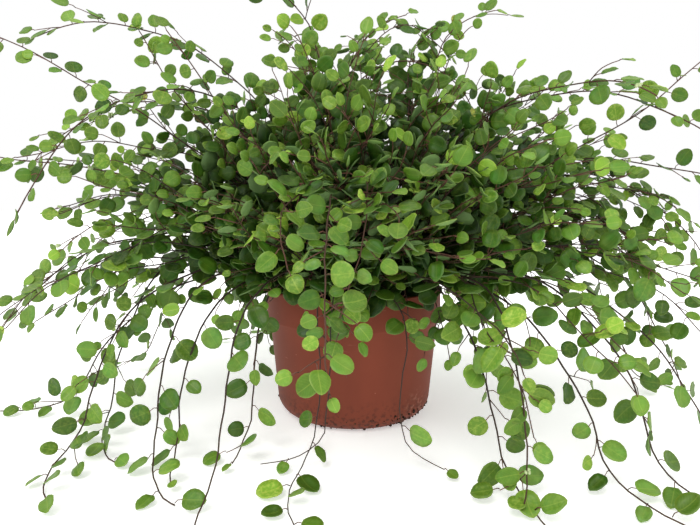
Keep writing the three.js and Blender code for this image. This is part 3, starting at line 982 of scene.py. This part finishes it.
def leaves_piece(name, leaves, growth):
    """Copy the blades to their places in one mesh, each with cells of its own in the UV map."""
    grids = {True: FINE_CELLS, False: COARSE_CELLS}
    blades = {fine: [leaf_blade(*grid, shape) for shape in LEAF_SHAPES] for fine, grid in grids.items()}
    columns = math.ceil(math.sqrt(2 * len(leaves)))
    points, faces, smooth, cells, blade_marks, leaf_marks = [], [], [], [], [], []
    start = 0
    for number, leaf in enumerate(leaves):
        shape, flat, quads, smooth_quads, upper = blades[leaf.fine][leaf.form]
        axes = np.array([leaf.along, leaf.face.cross(leaf.along), leaf.face])
        points.append(shape @ axes * leaf.length * growth + np.array(leaf.root))
        faces.append(quads + start)
        smooth.append(smooth_quads)
        start += len(shape)
        blade_marks.append(np.column_stack([flat, np.where(upper, 0.0, 1.0)]))
        leaf_marks.append(np.tile(leaf.look, (len(shape), 1)))
        # The rim's corners lie round the upper cell, and the two sides of the blade in a cell each.
        corners = quads.ravel()
        on_rim = np.repeat(~smooth_quads, 4)
        under = ~upper[corners]
        cell = 2 * number + np.where(on_rim, 0, under)
        scale = np.where(on_rim & under, 0.47, 0.43)
        spot = 0.5 + flat[corners] * scale[:, None]
        corner_cell = np.column_stack([cell % columns, cell // columns])
        cells.append((corner_cell + spot) / columns)
    piece = object_from(name, np.concatenate(points), np.concatenate(faces).tolist())
    mesh = piece.data
    mesh.polygons.foreach_set("use_smooth", np.concatenate(smooth))
    layer = mesh.uv_layers.new(name="UVMap")
    layer.data.foreach_set("uv", np.concatenate(cells).ravel())
    for mark, values in (("blade", blade_marks), ("leaf", leaf_marks)):
        attribute = mesh.attributes.new(mark, "FLOAT_VECTOR", "POINT")
        attribute.data.foreach_set("vector", np.concatenate(values).ravel())
    return piece


def ring_solid(name, sides, profile):
    """Turn a profile of radius and height in mm by extruding and resizing a filled circle ring by ring."""
    (radius, height), *rest = profile
    select_only()
    bpy.ops.mesh.primitive_circle_add(
        vertices=sides, radius=radius * MM, fill_type="NGON", location=(0, 0, height * MM))
    piece = bpy.context.active_object
    piece.name = piece.data.name = name
    bpy.ops.object.transform_apply(location=True, rotation=True, scale=True)
    bpy.ops.object.mode_set(mode="EDIT")
    bpy.ops.mesh.select_mode(type="EDGE")
    bpy.ops.mesh.select_all(action="SELECT")
    bpy.ops.mesh.duplicate()
    bpy.ops.mesh.delete(type="ONLY_FACE")
    bpy.ops.object.mode_set(mode="OBJECT")
    for edge in piece.data.edges:
        edge.select = edge.index >= sides
    bpy.ops.object.mode_set(mode="EDIT")
    for next_radius, next_height in rest:
        bpy.ops.mesh.extrude_edges_move(
            TRANSFORM_OT_translate={"value": (0, 0, (next_height - height) * MM)})
        scale = next_radius / radius
        bpy.ops.transform.resize(value=(scale, scale, 1), center_override=(0, 0, next_height * MM))
        radius, height = next_radius, next_height
    bpy.ops.mesh.edge_face_add()
    bpy.ops.mesh.select_all(action="SELECT")
    bpy.ops.mesh.remove_doubles(threshold=0.01 * MM)
    bpy.ops.mesh.normals_make_consistent(inside=False)
    bpy.ops.object.mode_set(mode="OBJECT")
    return piece


def arc(centre, radius, first, last, steps):
    """Points of an arc in a profile: its angles are 0 outwards and 90 upwards."""
    turns = [math.radians(between(first, last, i / steps)) for i in range(steps + 1)]
    return [(centre[0] + radius * math.cos(t), centre[1] + radius * math.sin(t)) for t in turns]


def pot_profile(height, band_radius, wall):
    """The pot's profile from the middle of its base round the outside, over the rim and down inside."""
    body_top = height - BAND_HEIGHT
    body = band_radius - BAND_STEP
    rim = band_radius - BAND_BULGE
    outside = [(RECESS_RADIUS, RECESS_DEPTH), (RECESS_RADIUS + RECESS_SLOPE, 0), (CORNER_CENTRE[0], 0)]
    outside += arc(CORNER_CENTRE, CORNER_RADIUS, -90, 0, 10)[1:]
    outside += [(body, body_top - SOFT_EDGE), (body + 0.3, body_top)]
    outside += [(rim, body_top), (rim + SOFT_EDGE, body_top + 0.5), (band_radius, body_top + 2)]
    outside += arc((rim - RIM_ROUND, height - RIM_ROUND), RIM_ROUND, 0, 90, 4)
    inside = arc((rim - wall + SOFT_EDGE, height - LIP_ROUND), LIP_ROUND, 90, 180, 3)
    inside += [(rim - wall - SOFT_EDGE, height - SHELF_DROP), (body - wall, body_top - SHELF_DROP)]
    inside += arc(CORNER_CENTRE, CORNER_RADIUS - wall, 0, -90, 8)
    return outside + inside


def soil_profile():
    """The potting mix's profile, from the middle of its base up beside the wall and in over its surface."""
    profile = [(CORNER_CENTRE[0] - 1, SOIL_GAP)]
    profile += arc(CORNER_CENTRE, CORNER_RADIUS - SOIL_GAP, -90, 0, 5)[1:]
    return profile + SOIL_SHOULDER + [(radius, SOIL_TOP) for radius in SOIL_RINGS]


def lump(seed, detail, roughness):
    """Points and faces of a lump 1 across, uneven by a share of its radius."""
    select_only()
    bpy.ops.mesh.primitive_ico_sphere_add(subdivisions=detail, radius=0.5)
    ball = bpy.context.active_object
    points = []
    for vertex in ball.data.vertices:
        uneven = 1 + roughness * noise.noise(vertex.co * 2.2 + Vector((seed * 7.1, 0, 0)))
        points.append(vertex.co * uneven)
    faces = [list(face.vertices) for face in ball.data.polygons]
    bpy.data.objects.remove(ball)
    return np.array([p[:] for p in points]), np.array(faces)


def scatter(name, spots, smooth=False):
    """One piece of small lumps: each spot gives a place in mm, a size, a draw number and a stretch."""
    shapes = [lump(seed, 2, 0.1) if smooth else lump(seed, 1, 0.45) for seed in range(6)]
    points, faces = [], []
    start = 0
    for place, size, draw, stretch in spots:
        shape, triangles = shapes[draw % len(shapes)]
        turn = np.array(Matrix.Rotation(draw * 1.7, 3, "Z") @ Matrix.Rotation(draw * 2.9, 3, "X"))
        points.append((shape * np.array([1, 1, stretch])) @ turn.T * size + np.array(place))
        faces.append(triangles + start)
        start += len(shape)
    piece = object_from(name, np.concatenate(points), np.concatenate(faces).tolist())
    if smooth:
        piece.data.shade_smooth()
    return piece


def loose_crumbs():
    """The spots of the crumbs that lie on the potting mix."""
    spots = []
    for i in range(CRUMB_COUNT):
        ring = CRUMB_RING * math.sqrt(chance(7, i, 1))
        place = towards(360 * chance(7, i, 2), 0) * ring + UP * (SOIL_TOP + 0.6)
        size = between(*CRUMB_SIZES, chance(7, i, 3) ** 2)
        spots.append((place, size, i, drawn((0.6, 1), 7, i, 4)))
    return spots


def clinging_crumbs():
    """The spots of the crumbs that cling to the pot's lower corner."""
    spots = []
    for i in range(CLINGING_COUNT):
        lift = math.radians(CLINGING_LIFT * chance(8, i, 1) ** 1.5)
        bearing = drawn(CLINGING_SECTORS[i % len(CLINGING_SECTORS)], 8, i, 2)
        out = CORNER_CENTRE[0] + CORNER_RADIUS * math.sin(lift)
        height = CORNER_RADIUS - CORNER_RADIUS * math.cos(lift)
        size = between(*CLINGING_SIZES, chance(8, i, 3) ** 2.5)
        spots.append((towards(bearing, 0) * out + UP * max(height, 0.6 * size), size, i, 0.7))
    return spots


def bud_clusters():
    """The spots of the flower buds, four at the joint of each of a few leaves."""
    spots = []
    for index in range(len(SPRAYS)):
        for number, leaf in enumerate(grown_spray(index)[1]):
            if not leaf.fine or chance(index, number, 40) > BUD_SHARE:
                continue
            for i in range(4):
                aside = towards(360 * chance(number, i, 41), 90 * chance(number, i, 42) - 20)
                place = leaf.stalk[0] + aside * drawn((0.8, 2.2), number, i, 43)
                spots.append((place, drawn((1.4, 2.6), number, i, 44), number + i, 1.5))
    return spots


# Materials


def feed(tree, target, inputs):
    """Set inputs of a node, in order or by name or number, each to a value or a link."""
    for name, value in inputs.items() if isinstance(inputs, dict) else enumerate(inputs):
        if isinstance(value, bpy.types.NodeSocket):
            tree.links.new(value, target.inputs[name])
        else:
            target.inputs[name].default_value = value


def node(tree, kind, inputs=(), give=0, stops=(), **settings):
    """Add a node with its settings, inputs and the stops of a colour ramp, and give one of its outputs.

    A Map Range node takes its value, the two ends that this comes from and the two that it goes to.
    """
    added = tree.nodes.new("ShaderNode" + kind)
    for name, value in settings.items():
        setattr(added, name, value)
    feed(tree, added, inputs)
    if stops:
        ramp = added.color_ramp
        while len(ramp.elements) < len(stops):
            ramp.elements.new(0.5)
        for element, (position, colour) in zip(ramp.elements, stops):
            element.position = position
            element.color = colour
    return added.outputs[give]


def new_material(name):
    """A material with only an output and a Principled shader."""
    made = bpy.data.materials.new(name)
    made.use_nodes = True
    tree = made.node_tree
    tree.nodes.clear()
    shader = tree.nodes.new("ShaderNodeBsdfPrincipled")
    output = tree.nodes.new("ShaderNodeOutputMaterial")
    tree.links.new(shader.outputs["BSDF"], output.inputs["Surface"])
    return made, tree, shader


def leaf_material(colours):
    """Thin waxy leaf: a satin blade with paler veins and edge, and a dull greyer underside.

    The tone of each leaf runs from dark to pale green: darker deeper in the mound as painted shade, and
    otherwise at random. Young leaves are lime, mottled and edged with yellow, and the few aged ones are olive
    with yellow blotches.
    """
    made, tree, shader = new_material("waxy_leaf")
    marks = []
    for mark in ("blade", "leaf"):
        vector = node(tree, "Attribute", give="Vector", attribute_name=mark)
        marks.append(node(tree, "SeparateXYZ", (vector,)).node.outputs)
    (out, across, under), (tone_and_painted_shade, youth, mottle) = marks
    coords = node(tree, "TexCoord", give="Object")
    # Cloudy tones about 5 mm across, a drift of hue over 12 mm, and blotches about 2 mm across.
    patterns = []
    for size, *ends in ((5, 0.35, 0.65, 0.88, 1.12), (12, 0.35, 0.65, 0.484, 0.52), (2, 0.45, 0.65)):
        pattern = node(tree, "TexNoise", {"Vector": coords, "Scale": 1 / (size * MM)})
        patterns.append(node(tree, "MapRange", (pattern, *ends)))
    cloud, drift, blotch = patterns
    # Painted shade: leaves deep in the mound take the dark end of this ramp.
    green = node(tree, "ValToRGB", (tone_and_painted_shade,), stops=[
        (0.0, colours.old_and_shaded_leaf),
        (0.5, colours.leaf),
        (1.0, colours.pale_leaf),
    ])
    green = node(tree, "HueSaturation", {"Hue": drift, "Value": cloud, "Color": green})
    aged = node(tree, "Math", (mottle, 1.5), operation="GREATER_THAN")
    most_mottle = node(tree, "Math", (mottle, 0.85), operation="MINIMUM")
    patches = node(tree, "Math", (blotch, most_mottle), operation="MULTIPLY")
    # The midrib, and side veins that run forward from it about 1.6 mm apart.
    aside = node(tree, "Math", (across,), operation="ABSOLUTE")
    midrib = node(tree, "MapRange", (aside, 0.07, 0.02))
    slant = node(tree, "Math", (aside, -0.75, out), operation="MULTIPLY_ADD")
    wave = node(tree, "Math", (slant, 0.13), operation="PINGPONG")
    side_vein = node(tree, "MapRange", (wave, 0.022, 0.0))
    side_vein = node(tree, "Math", (side_vein, 0.55), operation="MULTIPLY")
    veins = node(tree, "Math", (midrib, side_vein), operation="MAXIMUM")
    vein_youth = node(tree, "Math", (youth, 0.42, 0.05), operation="MULTIPLY_ADD")
    vein_show = node(tree, "Math", (veins, vein_youth), operation="MULTIPLY")
    # The pale edge.
    spot = node(tree, "CombineXYZ", (out, across))
    from_middle = node(tree, "VectorMath", (spot,), "Value", operation="LENGTH")
    edge = node(tree, "MapRange", (from_middle, 0.82, 1.0))
    edge_youth = node(tree, "Math", (youth, 0.45, 0.03), operation="MULTIPLY_ADD")
    edge_show = node(tree, "Math", (edge, edge_youth), operation="MULTIPLY")
    yellow = linear(HEX["leaf yellow"])
    layers = [
        (youth, colours.young_leaf),
        (aged, linear(HEX["leaf aged"])),
        (patches, yellow),
        (vein_show, yellow),
        (edge_show, yellow),
    ]
    for share, layer in layers:
        inputs = {MIX_SHARE: share, MIX_FROM: green, MIX_TO: layer}
        green = node(tree, "Mix", inputs, MIX_RESULT, data_type="RGBA")
    inputs = {MIX_SHARE: 0.6, MIX_FROM: green, MIX_TO: linear(HEX["underside"])}
    dull = node(tree, "Mix", inputs, MIX_RESULT, data_type="RGBA")
    inputs = {MIX_SHARE: under, MIX_FROM: green, MIX_TO: dull}
    feed(tree, shader, {
        "Base Color": node(tree, "Mix", inputs, MIX_RESULT, data_type="RGBA"),
        "Roughness": node(tree, "Math", (under, 0.25, 0.42), operation="MULTIPLY_ADD"),
        "IOR": 1.45,
        "Specular IOR Level": 0.35,
        "Normal": node(tree, "Bump", {"Strength": 0.22, "Distance": 0.15 * MM, "Height": veins}),
    })
    return made


def stem_material(colours):
    """Wiry woody stem: dull dark bark at the root, red-brown further out and pinkish on young growth."""
    made, tree, shader = new_material("wiry_bark")
    growth = node(tree, "UVMap", uv_map="UVMap")
    age, tint, _ = node(tree, "SeparateXYZ", (growth,)).node.outputs
    bark = node(tree, "ValToRGB", (age,), stops=[
        (0.0, colours.bark),
        (0.45, colours.bark),
        (0.75, linear(HEX["red bark"])),
        (1.0, colours.young_bark),
    ])
    vary = node(tree, "TexNoise", {"W": tint, "Scale": 90}, noise_dimensions="1D")
    bright = node(tree, "MapRange", (vary, 0.3, 0.7, 0.7, 1.4))
    feed(tree, shader, {
        "Base Color": node(tree, "HueSaturation", {"Value": bright, "Color": bark}),
        "Roughness": 0.6,
        "Specular IOR Level": 0.3,
    })
    return made


def plastic_material(plastic):
    """Injection-moulded polypropylene: matte terracotta brown with painted highlight bands, scratched, rubbed
    at a corner, dusty.
    """
    made, tree, shader = new_material("moulded_polypropylene")
    coords = node(tree, "TexCoord", give="Object")
    height = node(tree, "SeparateXYZ", (coords,), 2)
    # The moulding's slow, uneven tone, about 50 mm across and drawn out upwards, which also paints soft
    # highlight bands; it varies the roughness too.
    upward = node(tree, "Mapping", {"Vector": coords, "Scale": (20, 20, 7)})
    streaks_and_painted_highlights = node(tree, "TexNoise", {"Vector": upward, "Scale": 1, "Detail": 3})
    # Painted highlight: the upward streaks brighten and darken the plastic in bands, besides its uneven
    # moulded tone.
    bright = node(tree, "MapRange", (streaks_and_painted_highlights, 0.3, 0.7, 0.82, 1.16))
    colour = node(tree, "HueSaturation", {"Value": bright, "Color": plastic})
    # Fine scratches.
    stretched = node(tree, "Mapping", {"Vector": coords, "Scale": (60, 60, 900)})
    scratch = node(tree, "TexNoise", {"Vector": stretched, "Scale": 1, "Detail": 2})
    scratch = node(tree, "MapRange", (scratch, 0.72, 0.77))
    # Patterns about 3, 4 and 3 mm across: tiny pale specks, rubbed flecks, and specks of dust.
    patterns = []
    for size, detail, *ends in ((3, 1, 0.76, 0.8), (4, 4, 0.5, 0.6), (3, 6, 0.48, 0.6)):
        pattern = node(tree, "TexNoise", {"Vector": coords, "Scale": 1 / (size * MM), "Detail": detail})
        patterns.append(node(tree, "MapRange", (pattern, *ends)))
    speck, fleck, dust = patterns
    # The corner at the lower right where the pot has rubbed.
    away = node(tree, "VectorMath", (coords, RUBBED_CORNER * MM), "Value", operation="DISTANCE")
    near = node(tree, "MapRange", (away, 18 * MM, 5 * MM))
    rubbed = node(tree, "Math", (near, fleck), operation="MULTIPLY")
    wear = node(tree, "Math", (scratch, speck), operation="MAXIMUM")
    wear = node(tree, "Math", (rubbed, wear), operation="MAXIMUM")
    worn = node(tree, "Math", (wear, 0.55), operation="MULTIPLY")
    # Soil dust that gathers over the lowest 30 mm.
    low = node(tree, "MapRange", (height, 30 * MM, 0.0))
    low = node(tree, "Math", (low, 0.85), operation="MULTIPLY")
    dirt = node(tree, "Math", (dust, low), operation="MULTIPLY")
    for share, layer in ((worn, "plastic pale"), (dirt, "peat")):
        inputs = {MIX_SHARE: share, MIX_FROM: colour, MIX_TO: linear(HEX[layer])}
        colour = node(tree, "Mix", inputs, MIX_RESULT, data_type="RGBA")
    # The fine matte grain of the mould.
    grain = node(tree, "TexNoise", {"Vector": coords, "Scale": 1 / (0.8 * MM), "Detail": 2})
    feed(tree, shader, {
        "Base Color": colour,
        "Roughness": node(tree, "MapRange", (streaks_and_painted_highlights, 0, 1, 0.55, 0.7)),
        "IOR": 1.49,
        "Specular IOR Level": 0.2,
        "Normal": node(tree, "Bump", {"Strength": 0.12, "Distance": 0.2 * MM, "Height": grain}),
    })
    return made


def peat_material():
    """Peaty potting mix: nearly black and matte, with paler fibres."""
    made, tree, shader = new_material("potting_mix")
    coords = node(tree, "TexCoord", give="Object")
    crumbs = node(tree, "TexNoise", {"Vector": coords, "Scale": 1 / (2.5 * MM), "Detail": 5})
    share = node(tree, "MapRange", (crumbs, 0.45, 0.75))
    inputs = {MIX_SHARE: share, MIX_FROM: linear(HEX["peat"]), MIX_TO: linear(HEX["peat fibre"])}
    feed(tree, shader, {
        "Base Color": node(tree, "Mix", inputs, MIX_RESULT, data_type="RGBA"),
        "Roughness": 0.95,
        "Specular IOR Level": 0.15,
        "Normal": node(tree, "Bump", {"Strength": 0.8, "Distance": 0.6 * MM, "Height": crumbs}),
    })
    return made


def bud_material(bud):
    """Soft flower bud: pale cream green, with darker green patches."""
    made, tree, shader = new_material("flower_bud")
    coords = node(tree, "TexCoord", give="Object")
    blotch = node(tree, "TexNoise", {"Vector": coords, "Scale": 1 / (1.5 * MM)})
    inputs = {MIX_SHARE: blotch, MIX_FROM: bud, MIX_TO: linear(HEX["leaf pale"])}
    feed(tree, shader, {
        "Base Color": node(tree, "Mix", inputs, MIX_RESULT, data_type="RGBA"),
        "Roughness": 0.55,
    })
    return made


def board_material():
    """White board: matte, and lit a little from inside so that it stays as bright as the photograph's."""
    made, tree, shader = new_material("lit_white_board")
    feed(tree, shader, {
        "Base Color": linear(HEX["floor"]),
        "Roughness": 0.9,
        "Emission Color": WHITE,
        "Emission Strength": FLOOR_GLOW,
    })
    return made


# Sizes and colours that a user would change


def colour_property(name, description, colour):
    """A colour that a user can change."""
    return bpy.props.FloatVectorProperty(
        name=name, description=description, default=linear(HEX[colour]), subtype="COLOR", size=4,
        min=0, max=1)


def length_property(name, description, length):
    """A length, given in mm, that a user can change."""
    return bpy.props.FloatProperty(
        name=name, description=description, default=length * MM, unit="LENGTH", precision=4)


class WireVinePot(bpy.types.PropertyGroup):
    """Sizes and colour of the pot."""

    rim_radius: length_property("Rim radius", "Radius of the band at its fullest", BAND_RADIUS)
    height: length_property("Height", "Height of the pot", POT_HEIGHT)
    wall: length_property("Wall", "Thickness of the pot's wall", POT_WALL)
    plastic: colour_property("Plastic", "Colour of the moulded pot", "plastic")


class WireVineFoliage(bpy.types.PropertyGroup):
    """Sizes and colours of the stems, leaves and buds."""

    leaf_length: length_property("Leaf length", "Length of the largest leaves", LONGEST_LEAF)
    stem_growth: bpy.props.FloatProperty(
        name="Stem growth", description="How thick the stems are for their kind", default=1, min=0.3, max=3,
        subtype="FACTOR")
    # Painted shade: the dark end of the leaf tone, taken by leaves deep in the mound as well as by old ones.
    old_and_shaded_leaf: colour_property("Dark leaf", "Colour of old leaves inside the mound", "leaf dark")
    leaf: colour_property("Leaf", "Colour of most leaves", "leaf")
    pale_leaf: colour_property("Pale leaf", "Colour of the palest full-grown leaves", "leaf pale")
    young_leaf: colour_property("Young leaf", "Colour of new leaves", "leaf young")
    bark: colour_property("Bark", "Colour of old stems", "bark")
    young_bark: colour_property("Young bark", "Colour of twigs and leaf stalks", "young bark")
    bud: colour_property("Bud", "Colour of the flower buds", "bud")


SIZES_AND_COLOURS = {"wire_vine_pot": WireVinePot, "wire_vine_foliage": WireVineFoliage}


def dress(piece, made):
    """Give a finished piece its only material and its body."""
    piece.data.materials.clear()
    piece.data.materials.append(made)
    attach(piece, "root")


class WIREVINE_OT_pot(bpy.types.Operator):
    """Make the moulded pot with its band, rounded corner and drainage holes"""

    bl_idname = "wirevine.pot"
    bl_label = "Pot"

    def execute(self, context):
        sizes = context.scene.wire_vine_pot
        profile = pot_profile(sizes.height / MM, sizes.rim_radius / MM, sizes.wall / MM)
        pot = ring_solid("pot_shell", POT_SIDES, profile)
        for i in range(DRAIN_COUNT):
            turn = math.radians(360 / DRAIN_COUNT * (i + 0.5))
            select_only()
            bpy.ops.mesh.primitive_cylinder_add(
                vertices=DRAIN_SIDES, radius=DRAIN_RADIUS * MM, depth=DRAIN_DEPTH * MM,
                location=(DRAIN_RING * MM * math.cos(turn), DRAIN_RING * MM * math.sin(turn), 0))
            drill = context.active_object
            cut = pot.modifiers.new("Drain", "BOOLEAN")
            cut.operation = "DIFFERENCE"
            cut.object = drill
            apply_modifier(pot, cut)
            bpy.data.objects.remove(drill)
        select_only(pot)
        bpy.ops.object.shade_smooth_by_angle(angle=math.radians(POT_SMOOTH))
        dress(pot, plastic_material(sizes.plastic))
        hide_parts("pot")
        return {"FINISHED"}


class WIREVINE_OT_soil(bpy.types.Operator):
    """Make the potting mix with its crumbs, and the crumbs that stick to the pot's lower edge"""

    bl_idname = "wirevine.soil"
    bl_label = "Soil"

    def execute(self, context):
        soil = ring_solid("potting_mix", SOIL_SIDES, soil_profile())
        for vertex in soil.data.vertices:
            place = vertex.co / MM
            if place.z > SOIL_TOP - 0.5:
                lumps = [height * noise.noise(place / width) for height, width in (COARSE_LUMPS, FINE_LUMPS)]
                vertex.co.z = (SOIL_TOP + sum(lumps)) * MM
        select_only(soil)
        bpy.ops.object.shade_smooth_by_angle(angle=math.radians(SOIL_SMOOTH))
        peat = peat_material()
        dress(soil, peat)
        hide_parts("soil")
        crumbs = scatter("soil_crumbs", loose_crumbs())
        dress(crumbs, peat)
        clinging = scatter("clinging_soil", clinging_crumbs())
        dress(clinging, peat)
        return {"FINISHED"}


class WIREVINE_OT_stems(bpy.types.Operator):
    """Make the stems, twigs and leaf stalks of each spray"""

    bl_idname = "wirevine.stems"
    bl_label = "Stems"

    def execute(self, context):
        foliage = context.scene.wire_vine_foliage
        bark = stem_material(foliage)
        stalk_radii = [foliage.stem_growth * radius for radius in (STALK_RADIUS, STALK_RADIUS * STALK_TAPER)]
        for index, name in enumerate(SPRAYS):
            stems, leaves = grown_spray(index)
            tubes = Tubes()
            for stem in stems:
                tint = int(chance(stem.key, 3, 3) * TINT_LEVELS)
                radii = [foliage.stem_growth * radius for radius in stem.wood.radii]
                places = on_surface(stem.places, radii[1])
                if len(places) > LONG_STEP_COUNT:
                    places = places[:-1:2] + places[-1:]
                tubes.add(places, radii, stem.ages, tint, stem.wood.sides)
            for leaf in leaves:
                tubes.add(leaf.stalk, stalk_radii, STALK_AGES, leaf.tint, 3)
            piece = tubes.piece(f"stems_{name}")
            dress(piece, bark)
            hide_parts(f"spray_{name}")
        return {"FINISHED"}


class WIREVINE_OT_leaves(bpy.types.Operator):
    """Make the leaves of each spray"""

    bl_idname = "wirevine.leaves"
    bl_label = "Leaves"

    def execute(self, context):
        foliage = context.scene.wire_vine_foliage
        green = leaf_material(foliage)
        growth = foliage.leaf_length / (LONGEST_LEAF * MM)
        for index, name in enumerate(SPRAYS):
            piece = leaves_piece(f"leaves_{name}", grown_spray(index)[1], growth)
            dress(piece, green)
            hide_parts(f"spray_{name}")
        return {"FINISHED"}


class WIREVINE_OT_buds(bpy.types.Operator):
    """Make the few clusters of tiny flower buds at leaf joints"""

    bl_idname = "wirevine.buds"
    bl_label = "Buds"

    def execute(self, context):
        buds = scatter("flower_buds", bud_clusters(), smooth=True)
        dress(buds, bud_material(context.scene.wire_vine_foliage.bud))
        return {"FINISHED"}


class WIREVINE_OT_stage(bpy.types.Operator):
    """Make the floor, the light and the camera"""

    bl_idname = "wirevine.stage"
    bl_label = "Stage"

    def execute(self, context):
        scene = context.scene
        select_only()
        bpy.ops.mesh.primitive_circle_add(
            vertices=64, radius=FLOOR_RADIUS, fill_type="NGON", location=(0, 0, 0))
        floor = context.active_object
        floor.name = "floor"
        floor.data.materials.append(board_material())
        world = bpy.data.worlds.new("soft_white")
        world.use_nodes = True
        feed(world.node_tree, world.node_tree.nodes["Background"], {"Color": WHITE, "Strength": 1.0})
        scene.world = world
        bpy.ops.object.light_add(type="SUN", location=(0, 0, 1.5))
        sun = context.active_object
        sun.name = "key_light"
        sun.data.energy = SUN_STRENGTH
        sun.data.angle = math.radians(SUN_WIDTH)
        sun.rotation_euler = [math.radians(turn) for turn in SUN_TURNS]
        bpy.ops.object.camera_add(location=[length * MM for length in CAMERA_PLACE])
        camera = context.active_object
        camera.name = "camera"
        camera.rotation_euler = (math.radians(90 - CAMERA_DROP), 0, 0)
        camera.data.sensor_width = SENSOR_WIDTH
        camera.data.lens = SENSOR_WIDTH * FOCAL_PIXELS / PICTURE_WIDTH
        camera.data.clip_start = 0.01
        scene.camera = camera
        scene.view_settings.view_transform = "Standard"
        return {"FINISHED"}


STEPS = [
    WIREVINE_OT_stage,
    WIREVINE_OT_pot,
    WIREVINE_OT_soil,
    WIREVINE_OT_stems,
    WIREVINE_OT_leaves,
    WIREVINE_OT_buds,
]


class WIREVINE_PT_panel(bpy.types.Panel):
    """Lists the steps that make the plant"""

    bl_idname = "WIREVINE_PT_panel"
    bl_label = "Wire vine"
    bl_space_type = "VIEW_3D"
    bl_region_type = "UI"
    bl_category = "Wire vine"

    def draw(self, context):
        for name, group in SIZES_AND_COLOURS.items():
            for field in group.__annotations__:
                self.layout.prop(getattr(context.scene, name), field)
        for step in STEPS:
            self.layout.operator(step.bl_idname)


CLASSES = [*SIZES_AND_COLOURS.values(), *STEPS, WIREVINE_PT_panel]


def register():
    for item in CLASSES:
        bpy.utils.register_class(item)
    for name, group in SIZES_AND_COLOURS.items():
        setattr(bpy.types.Scene, name, bpy.props.PointerProperty(type=group))


def unregister():
    for name in SIZES_AND_COLOURS:
        delattr(bpy.types.Scene, name)
    for item in reversed(CLASSES):
        bpy.utils.unregister_class(item)


def main():
    register()
    bpy.ops.wirevine.stage()
    bpy.ops.wirevine.pot()
    bpy.ops.wirevine.soil()
    bpy.ops.wirevine.stems()
    bpy.ops.wirevine.leaves()
    bpy.ops.wirevine.buds()


if __name__ == "__main__":
    main()
